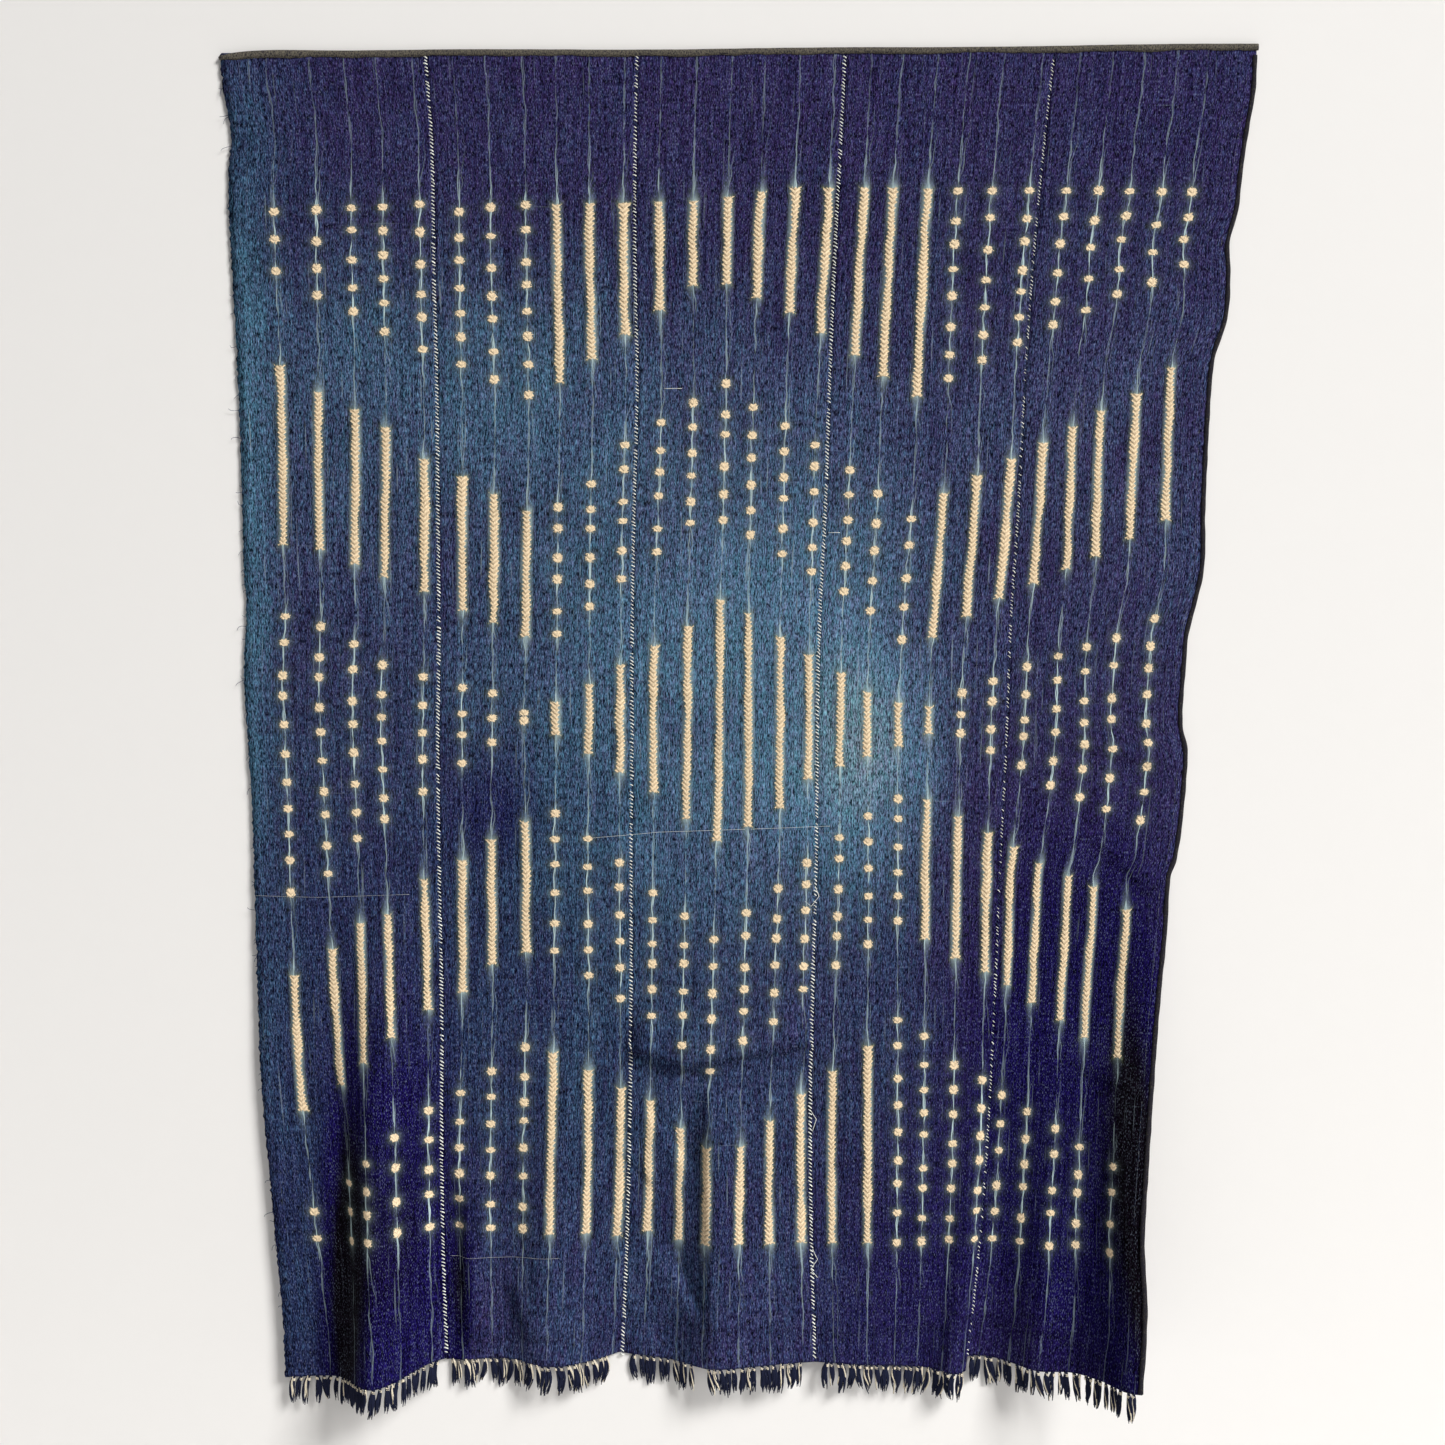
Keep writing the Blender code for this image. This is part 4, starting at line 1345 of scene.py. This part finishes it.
class Scatter:
    """Lays small pieces on points with Geometry Nodes and returns them as one plain mesh."""

    def __init__(self) -> None:
        """Build the node tree once."""
        tree = bpy.data.node_groups.new("lay_pieces_on_points", "GeometryNodeTree")
        sockets = (
            ("Geometry", "NodeSocketGeometry"),
            ("Pieces", "NodeSocketCollection"),
            ("Size", "NodeSocketFloat"),
            ("Size Spread", "NodeSocketFloat"),
            ("Seed", "NodeSocketInt"),
            ("Finish", "NodeSocketMaterial"),
        )
        for name, kind in sockets:
            tree.interface.new_socket(name, in_out="INPUT", socket_type=kind)
        tree.interface.new_socket("Geometry", in_out="OUTPUT", socket_type="NodeSocketGeometry")
        bench = Bench(tree)
        given = bench.node("NodeGroupInput")
        info = bench.node("GeometryNodeCollectionInfo")
        bench.put(info.inputs["Collection"], given.outputs["Pieces"])
        info.inputs["Separate Children"].default_value = True
        info.inputs["Reset Children"].default_value = True
        pick = bench.node("GeometryNodeInputNamedAttribute", data_type="INT")
        pick.inputs["Name"].default_value = "pick"
        turn = bench.node("GeometryNodeInputNamedAttribute", data_type="FLOAT_VECTOR")
        turn.inputs["Name"].default_value = "turn"
        spread = bench.node("FunctionNodeRandomValue", data_type="FLOAT")
        low = bench.node("ShaderNodeMath", operation="SUBTRACT")
        high = bench.node("ShaderNodeMath", operation="ADD")
        for node in (low, high):
            bench.put(node.inputs[0], given.outputs["Size"])
            bench.put(node.inputs[1], given.outputs["Size Spread"])
        floats = [socket for socket in spread.inputs if socket.type == "VALUE" and socket.enabled]
        bench.put(floats[0], low.outputs[0])
        bench.put(floats[1], high.outputs[0])
        bench.put(spread.inputs["Seed"], given.outputs["Seed"])
        lay = bench.node("GeometryNodeInstanceOnPoints")
        bench.put(lay.inputs["Points"], given.outputs["Geometry"])
        bench.put(lay.inputs["Instance"], info.outputs[0])
        lay.inputs["Pick Instance"].default_value = True
        bench.put(lay.inputs["Instance Index"], pick.outputs[0])
        bench.put(lay.inputs["Rotation"], turn.outputs[0])
        bench.put(lay.inputs["Scale"], next(socket for socket in spread.outputs if socket.type == "VALUE"))
        real = bench.node("GeometryNodeRealizeInstances")
        bench.put(real.inputs["Geometry"], lay.outputs[0])
        coat = bench.node("GeometryNodeSetMaterial")
        bench.put(coat.inputs["Geometry"], real.outputs[0])
        bench.put(coat.inputs["Material"], given.outputs["Finish"])
        made = bench.node("NodeGroupOutput")
        bench.put(made.inputs[0], coat.outputs[0])
        self.tree = tree

    def lay(self, name: str, spots: list, pieces: list, spread: float, seed: int,
            finish: bpy.types.Material) -> bpy.types.Object:
        """Lay pieces on points.

        Args:
            name: The name of the piece that is made.
            spots: Where each piece lies, how it is turned and which piece it is.
            pieces: The small meshes, in the order of their picks.
            spread: How much their size varies, as a share.
            seed: The seed of that variation.
            finish: The material that they all take.

        Returns:
            One object with a plain mesh.
        """
        store = bpy.data.collections.new(name + "_pieces")
        for index, mesh in enumerate(pieces):
            store.objects.link(bpy.data.objects.new(f"{name}_{index:02d}", mesh))
        points = bpy.data.meshes.new(name + "_points")
        points.from_pydata([spot.point for spot in spots], [], [])
        turn = points.attributes.new("turn", "FLOAT_VECTOR", "POINT")
        turn.data.foreach_set("vector", np.array([tuple(spot.turn) for spot in spots], np.float32).ravel())
        pick = points.attributes.new("pick", "INT", "POINT")
        pick.data.foreach_set("value", np.array([spot.pick for spot in spots], np.int32))
        holder = put_in_scene(name + "_holder", points)
        modifier = holder.modifiers.new("lay", "NODES")
        modifier.node_group = self.tree
        values = {"Pieces": store, "Size": 1.0, "Size Spread": spread, "Seed": seed, "Finish": finish}
        for socket in self.tree.interface.items_tree:
            if socket.item_type == "SOCKET" and socket.in_out == "INPUT" and socket.name in values:
                modifier[socket.identifier] = values[socket.name]
        bpy.context.view_layer.update()
        graph = bpy.context.evaluated_depsgraph_get()
        mesh = bpy.data.meshes.new_from_object(holder.evaluated_get(graph), depsgraph=graph)
        mesh.name = name
        piece = put_in_scene(name, mesh)
        bpy.data.objects.remove(holder)
        for small in list(store.objects):
            bpy.data.objects.remove(small)
        bpy.data.collections.remove(store)
        LOG.info("%s: %d points, %d faces", name, len(spots), len(mesh.polygons))
        return piece


def turn_to(facing: Vector, roll: float) -> Vector:
    """Return the rotation that takes a piece made facing -Y to a facing, rolled about it first."""
    outward = facing.normalized()
    side = Vector((0.0, 0.0, 1.0)).cross(outward)
    side = Vector((-1.0, 0.0, 0.0)) if side.length < 1e-6 else side.normalized()
    up = outward.cross(side)
    basis = Matrix((-side, -outward, up)).transposed()
    return Vector((basis @ Matrix.Rotation(roll, 3, "Y")).to_euler())


@dataclass
class WhippedSeam:
    """One sewn seam: uneven pale and indigo whip stitches that wrap both edges."""

    number: int
    form: ClothForm
    scatter: Scatter
    pitch: float = 3.6
    reach: float = 1.7
    rise: float = 2.2
    yarn: float = 0.56
    variants: int = 5
    pale_share: float = 0.96
    thin_pale_share: float = 0.72
    thin_seam: int = 4
    thin_scale: float = 0.74
    size_spread: float = 0.18
    seed: int = 40
    size_seed: int = 4

    def stitch(self, draw: random.Random, scale: float, dye: float) -> bpy.types.Mesh:
        """Make one slanted loop of yarn round both faces of the cloth, no two alike.

        Args:
            draw: The seam's own random draws.
            scale: The stitch's size against the usual one.
            dye: 0 for a pale yarn, 1 for an indigo one.

        Returns:
            The loop's mesh, at the origin and facing -Y.
        """
        reach = self.reach * scale * draw.uniform(0.85, 1.12)
        rise = self.rise * draw.uniform(0.8, 1.2)
        bow = draw.uniform(0.2, 0.6)
        yarn = self.yarn * scale * draw.uniform(0.85, 1.15)
        path = []
        for step in range(9):
            angle = 2.0 * math.pi * step / 8.0
            across = math.cos(angle) * reach
            out = math.sin(angle) * (SHEET_THICKNESS / 2.0 + yarn * 0.8)
            path.append(Vector((across, out, across * rise / (2.0 * reach) + math.sin(angle) * bow)))
        gathered = MeshGatherer()
        gathered.add(tube(path, [yarn] * len(path), 5), dye)
        return gathered.make(f"stitch_{self.number}")

    def build(self, finish: bpy.types.Material) -> bpy.types.Object:
        """Lay the stitches down the seam and return them as one piece."""
        draw = random.Random(self.seed + self.number)
        thin = self.number == self.thin_seam
        scale = self.thin_scale if thin else 1.0
        share = self.thin_pale_share if thin else self.pale_share
        pale = [self.stitch(draw, scale, 0.0) for _ in range(self.variants)]
        dark = [self.stitch(draw, scale, 1.0) for _ in range(self.variants)]
        spots = []
        down = 8.0
        while down < HEM_DOWN - 4.0:
            across = float(self.form.seam(self.number, np.array([down]))[0]) + draw.uniform(-0.3, 0.3)
            point, facing = self.form.point(across, down)
            turn = turn_to(facing, draw.uniform(-0.22, 0.22))
            first = 0 if draw.random() < share else self.variants
            spots.append(Spot(point, turn, first + draw.randrange(self.variants)))
            down += self.pitch * draw.uniform(0.88, 1.12)
        name = f"seam_stitches_{self.number}"
        piece = self.scatter.lay(name, spots, pale + dark, self.size_spread, self.size_seed, finish)
        return settle(piece, "fringe_cotton")


@dataclass
class KnottedFringe:
    """One strip's fringe: locks of pale and dark warp ends, each tied with a small knot at the hem."""

    row: StripRow
    form: ClothForm
    scatter: Scatter
    variants: int = 9
    shortest: float = 17.0
    longest: float = 26.0
    splay: float = 4.1
    dark_share: float = 0.93
    tilt: float = 0.14
    coil_width: float = 1.25
    coil_depth: float = 1.0
    coil_yarn: float = 0.78
    hem_width: float = 170.0
    end_gap: float = 2.0
    bare_strip: int = 3
    bare_from: float = 0.40
    bare_to: float = 0.45
    root_below_hem: float = 0.6
    size_spread: float = 0.12
    seed: int = 70
    size_seed: int = 9

    def lock(self, seed: int) -> bpy.types.Mesh:
        """Make one bowed lock, hanging down from its root at the origin and facing -Y."""
        draw = random.Random(seed)
        gathered = MeshGatherer()
        knot_height = draw.uniform(2.4, 3.4)
        for turn_start in (0.0, math.pi):
            coil = []
            for step in range(9):
                angle = turn_start + 2.0 * math.pi * step / 8.0
                fall = -0.6 - knot_height * step / 9.0
                aside = math.cos(angle) * self.coil_width
                coil.append(Vector((aside, math.sin(angle) * self.coil_depth, fall)))
            gathered.add(tube(coil, [self.coil_yarn] * len(coil), 5), draw.choice((0.0, 0.0, 0.3)))
        lean = draw.uniform(-4.0, 4.0)
        bow = draw.uniform(-2.6, 2.6)
        strands = draw.randint(10, 12)
        for strand in range(strands):
            angle = 2.0 * math.pi * strand / strands + draw.uniform(-0.4, 0.4)
            length = draw.uniform(self.shortest, self.longest)
            stray = self.splay if draw.random() < 0.25 else 1.0
            tip_across = math.cos(angle) * stray * draw.uniform(0.3, 1.1)
            tip_out = math.sin(angle) * draw.uniform(0.3, 1.1)
            path = []
            radii = []
            for step in range(8):
                share = step / 7.0
                body = math.sin(min(share * 1.5, 1.0) * math.pi * 0.5)
                sweep = lean * share + bow * math.sin(share * 3.6)
                path.append(Vector((
                    math.cos(angle + share * 2.4) * (0.5 + 1.9 * body) + sweep + tip_across * share * share,
                    math.sin(angle + share * 2.4) * (0.5 + 0.6 * body) + tip_out * share * share,
                    1.0 - share * (length + 1.0),
                )))
                radii.append(1.0 - 0.66 * share ** 3)
            dye = 1.0 if draw.random() < self.dark_share else draw.choice((0.0, 0.0, 0.35))
            gathered.add(tube(path, radii, 4), dye)
        return gathered.make("fringe_lock")

    def build(self, finish: bpy.types.Material) -> bpy.types.Object:
        """Hang the locks along the hem and return them as one piece."""
        draw = random.Random(self.seed + self.row.number)
        first = (self.end_gap + self.row.bare_left) / self.hem_width
        last = 1.0 - (self.end_gap + self.row.bare_right) / self.hem_width
        spots = []
        for lock in range(self.row.locks):
            share = first + (last - first) * (lock + 0.5 + draw.uniform(-0.2, 0.2)) / self.row.locks
            if self.row.number == self.bare_strip and self.bare_from < share < self.bare_to:
                continue
            point, facing = self.form.strip_point(self.row, share, self.root_below_hem)
            facing.z = 0.0
            turn = turn_to(facing, draw.uniform(-self.tilt, self.tilt))
            spots.append(Spot(point, turn, draw.randrange(self.variants)))
        locks = [self.lock(100 * self.row.number + variant) for variant in range(self.variants)]
        name = f"knotted_fringe_{self.row.number}"
        piece = self.scatter.lay(name, spots, locks, self.size_spread, self.size_seed, finish)
        return settle(piece, "fringe_cotton", f"fringe_{self.row.number}")


@dataclass
class RolledEdges:
    """The rolled hem along the top and the turned selvedge down the right side."""

    form: ClothForm
    hem_half_height: float = 3.3
    hem_flatten: float = 0.62
    hem_left: float = -519.5
    hem_right: float = 518.5
    hem_out: float = MID_SURFACE_OUT + 0.6
    hem_dye: float = 0.56
    side_half_width: float = 2.4
    side_flatten: float = 0.75
    side_dye: float = 0.70
    segments: int = 420
    seed: int = 8

    def top_hem(self, finish: bpy.types.Material) -> bpy.types.Object:
        """Roll the top edge, a little uneven, with a thicker lump at the left corner."""
        draw = np.random.default_rng(self.seed)
        path = []
        radii = []
        wobble = np.convolve(draw.normal(0.0, 1.0, self.segments + 9), np.ones(9) / 9.0, "valid")
        for step in range(self.segments + 1):
            share = step / self.segments
            across = self.hem_left + share * (self.hem_right - self.hem_left)
            sag = math.sin(share * 19.0) * 0.5 + wobble[step] * 0.9 + 5.0 * math.exp(-share * 70.0)
            down = float(self.form.top(np.array([across]))[0]) + self.hem_half_height - 0.5 + sag
            path.append(Vector((across, -self.hem_out, -down)))
            lump = 0.9 * math.exp(-(((share - 0.06) / 0.035) ** 2)) - 1.2 * math.exp(-share * 90.0)
            radii.append(self.hem_half_height * (1.0 + wobble[step] * 0.22) + lump)
        gathered = MeshGatherer()
        vertices, faces = tube(path, radii, 10)
        for vertex in vertices:
            vertex.y = (vertex.y + self.hem_out) * self.hem_flatten - self.hem_out
        gathered.add((vertices, faces), self.hem_dye)
        return gathered.piece("rolled_top_hem", "indigo_cotton", finish)

    def turned_selvedge(self, finish: bpy.types.Material) -> bpy.types.Object:
        """Turn the right edge over into a narrow cord from the hem to the top."""
        path = []
        radii = []
        for step in range(self.segments + 1):
            down = 6.0 + (HEM_DOWN - 8.0) * step / self.segments
            across = float(self.form.side(5, np.array([down]))[0]) - self.side_half_width * 0.6
            point, _ = self.form.point(across, down)
            path.append(point / MM + Vector((0.0, -0.3, 0.0)))
            uneven = 0.12 * math.sin(down * 0.21) * math.sin(down * 0.057)
            radii.append(self.side_half_width * (1.0 + uneven))
        gathered = MeshGatherer()
        gathered.add(tube(path, radii, 8, self.side_flatten), self.side_dye)
        return gathered.piece("turned_selvedge", "indigo_cotton", finish)


class Thread(NamedTuple):
    """One loose or floating thread: places as (across, down), its radius and how deeply it is dyed."""

    name: str
    places: tuple
    radius: float
    dye: float


THREADS = (
    Thread("left_float", ((-484.0, 845.0), (-420.0, 847.0), (-329.0, 844.0)), 0.10, 0.45),
    Thread("middle_float", ((-149.0, 788.0), (-80.0, 782.0), (10.0, 779.0), (91.0, 776.0)), 0.12, 0.3),
    Thread("upper_float", ((-75.0, 339.0), (-57.0, 339.0)), 0.25, 0.0),
    Thread("right_float", ((89.0, 483.0), (101.0, 483.0)), 0.25, 0.0),
    Thread("low_float", ((-289.0, 1205.0), (-240.0, 1206.0), (-179.0, 1204.0)), 0.10, 0.45),
    Thread("seam_3_loose_high", ((76.0, 836.0), (80.0, 846.0), (72.0, 856.0), (66.0, 851.0)), 0.30, 0.0),
    Thread("seam_3_loose_middle", ((72.0, 1060.0), (77.0, 1068.0), (73.0, 1080.0)), 0.30, 0.0),
    Thread("seam_3_loose_low", ((73.0, 1196.0), (78.0, 1206.0), (71.0, 1216.0), (78.0, 1224.0)), 0.30, 0.0),
)


@dataclass
class LooseThreads:
    """Threads that lie on the face, the frayed left edge and a pale warp line by the right selvedge."""

    form: ClothForm
    lift: float = 0.75
    step: float = 5.0
    fray_count: int = 60
    fray_seed: int = 12
    line_inset: float = 9.0
    line_lift: float = 0.45
    line_radius: float = 0.16
    line_dye: float = 0.64

    def surface_path(self, places: tuple) -> list:
        """Return points, in millimetres, that follow the cloth's face through the given places."""
        path = []
        for (across, down), (next_across, next_down) in zip(places, places[1:]):
            count = max(2, math.ceil(math.hypot(next_across - across, next_down - down) / self.step))
            for piece in range(count):
                share = piece / count
                here = (across + (next_across - across) * share, down + (next_down - down) * share)
                point, facing = self.form.point(*here)
                path.append(point / MM + facing * self.lift)
        point, facing = self.form.point(*places[-1])
        path.append(point / MM + facing * self.lift)
        return path

    def frayed_ends(self, gathered: MeshGatherer) -> None:
        """Add short curled weft ends that stand out of the left edge."""
        draw = random.Random(self.fray_seed)
        for _ in range(self.fray_count):
            down = draw.uniform(30.0, HEM_DOWN - 20.0)
            across = float(self.form.side(0, np.array([down]))[0])
            start, _ = self.form.point(across + 2.0, down)
            reach = draw.uniform(2.0, 7.0) if draw.random() < 0.8 else draw.uniform(8.0, 13.0)
            drop = draw.uniform(-3.0, 7.0)
            bend = draw.uniform(-2.5, 2.5)
            path = []
            for step in range(6):
                share = step / 5.0
                path.append(start / MM + Vector((
                    -reach * math.sin(share * 1.5),
                    -0.6 * share,
                    -drop * share * share + bend * math.sin(share * 3.1),
                )))
            gathered.add(tube(path, [0.30 - 0.10 * step / 5.0 for step in range(6)], 4), 1.0)

    def build(self, finish: bpy.types.Material) -> bpy.types.Object:
        """Return all loose threads as one piece."""
        gathered = MeshGatherer()
        for thread in THREADS:
            path = self.surface_path(thread.places)
            gathered.add(tube(path, [thread.radius] * len(path), 4), thread.dye)
        heights = np.arange(60.0, 1290.0, 30.0)
        edges = self.form.side(5, heights) - self.line_inset
        path = [self.form.point(float(across), float(down)) for across, down in zip(edges, heights)]
        path = [point / MM + facing * self.line_lift for point, facing in path]
        gathered.add(tube(path, [self.line_radius] * len(path), 4), self.line_dye)
        self.frayed_ends(gathered)
        return gathered.piece("loose_threads", "fringe_cotton", finish)


@dataclass
class Studio:
    """The plain pale room, its soft light from the right, and the camera straight in front."""

    wall_out: float = -1.0
    wall_size: float = 6.0
    wall_top: float = 2.4
    floor_down: float = 1700.0
    paint: tuple = (0.83, 0.82, 0.81, 1.0)
    target: tuple = (0.0, 0.0, -0.65)
    warm: tuple = (1.0, 0.985, 0.96)
    cool: tuple = (0.97, 0.98, 1.0)
    sky: tuple = (0.95, 0.96, 1.0, 1.0)
    sky_strength: float = 0.055
    sensor: float = 36.0

    def surface(self, name: str, corners: list, see_through_back: bool) -> bpy.types.Object:
        """Make one flat stage surface.

        Args:
            name: The surface's name.
            corners: Its four corners in metres, anticlockwise as seen from its face.
            see_through_back: Whether it is clear from behind, and to lights.

        Returns:
            The surface.
        """
        mesh = bpy.data.meshes.new(name)
        mesh.from_pydata(corners, [], [(0, 1, 2, 3)])
        material = bpy.data.materials.new(name)
        material.use_nodes = True
        bench = Bench(material.node_tree)
        shader = material.node_tree.nodes["Principled BSDF"]
        shader.inputs["Base Color"].default_value = self.paint
        shader.inputs["Roughness"].default_value = 0.95
        shader.inputs["Specular IOR Level"].default_value = 0.1
        if see_through_back:
            clear = bench.node("ShaderNodeBsdfTransparent")
            choose = bench.node("ShaderNodeMixShader")
            side = bench.node("ShaderNodeNewGeometry").outputs["Backfacing"]
            shadow = bench.node("ShaderNodeLightPath").outputs["Is Shadow Ray"]
            bench.put(choose.inputs[0], bench.larger(side, shadow))
            bench.put(choose.inputs[1], shader.outputs[0])
            bench.put(choose.inputs[2], clear.outputs[0])
            surface = material.node_tree.nodes["Material Output"].inputs["Surface"]
            bench.put(surface, choose.outputs[0])
        mesh.materials.append(material)
        stage = put_in_scene(name, mesh)
        return stage

    def light(self, name: str, place: tuple, size: float, power: float, colour: tuple) -> None:
        """Add one soft square area light that looks at the cloth's middle.

        Args:
            name: The light's name.
            place: Where it stands, in metres.
            size: Its width and height, in metres.
            power: Its power in watts.
            colour: Its colour.
        """
        data = bpy.data.lights.new(name, "AREA")
        data.shape = "RECTANGLE"
        data.size = size
        data.size_y = size
        data.energy = power
        data.color = colour
        lamp = put_in_scene(name, data)
        lamp.location = place
        lamp.rotation_euler = (Vector(self.target) - Vector(place)).to_track_quat("-Z", "Y").to_euler()

    def build(self) -> None:
        """Build the stage, the lights and the camera."""
        half = self.wall_size / 2.0
        back = -self.wall_out * MM
        low = -self.floor_down * MM
        top = self.wall_top
        wall = [(-half, back, low), (half, back, low), (half, back, top), (-half, back, top)]
        floor = [(-half, -half, low), (half, -half, low), (half, half, low), (-half, half, low)]
        self.surface("backdrop", wall, True)
        self.surface("floor", floor, False)
        self.light("key", (8.6, -8.2, 7.6), 5.0, 2620.0, self.warm)
        self.light("fill", (-0.3, -5.0, 0.6), 2.6, 14.0, self.cool)
        self.light("back_room", (1.5, 2.6, 0.4), 2.0, 46.0, self.warm)
        world = bpy.data.worlds.new("pale_room")
        world.use_nodes = True
        sky = world.node_tree.nodes["Background"]
        sky.inputs["Color"].default_value = self.sky
        sky.inputs["Strength"].default_value = self.sky_strength
        bpy.context.scene.world = world
        bpy.context.scene.view_settings.view_transform = "Standard"
        data = bpy.data.cameras.new("camera")
        data.sensor_width = self.sensor
        data.lens = self.sensor * VIEW_DISTANCE / (PICTURE_PIXELS * MM_PER_PIXEL)
        camera = put_in_scene("camera", data)
        camera.location = Vector((PICTURE_CENTRE_ACROSS, -VIEW_DISTANCE, -PICTURE_CENTRE_DOWN)) * MM
        camera.rotation_euler = (math.pi / 2.0, 0.0, 0.0)
        bpy.context.scene.camera = camera


def main() -> None:
    """Build the whole cloth, then the stage."""
    logging.basicConfig(level=logging.INFO, format="%(message)s")
    form = ClothForm()
    chart = ResistChart()
    scatter = Scatter()
    cotton = IndigoFinish().make(weave_group(), resist_group())
    fringe_yarn = YarnFinish("fringe_yarn", (0.74, 0.67, 0.53, 1.0), (0.010, 0.013, 0.036, 1.0)).make()
    seam_yarn = YarnFinish("seam_yarn", (0.82, 0.84, 0.80, 1.0), (0.030, 0.045, 0.100, 1.0)).make()
    hem_yarn = YarnFinish("hem_yarn", (0.30, 0.27, 0.20, 1.0), (0.014, 0.013, 0.020, 1.0), 0.6).make()

    for row in STRIPS:
        WovenStrip(row, form, chart).build(cotton)
        KnottedFringe(row, form, scatter).build(fringe_yarn)
    for number in SEAM_NUMBERS:
        WhippedSeam(number, form, scatter).build(seam_yarn)
    edges = RolledEdges(form)
    top_hem = edges.top_hem(hem_yarn)
    selvedge = edges.turned_selvedge(hem_yarn)
    LooseThreads(form).build(seam_yarn)
    Studio().build()
    bpy.context.view_layer.update()


if __name__ == "__main__":
    main()
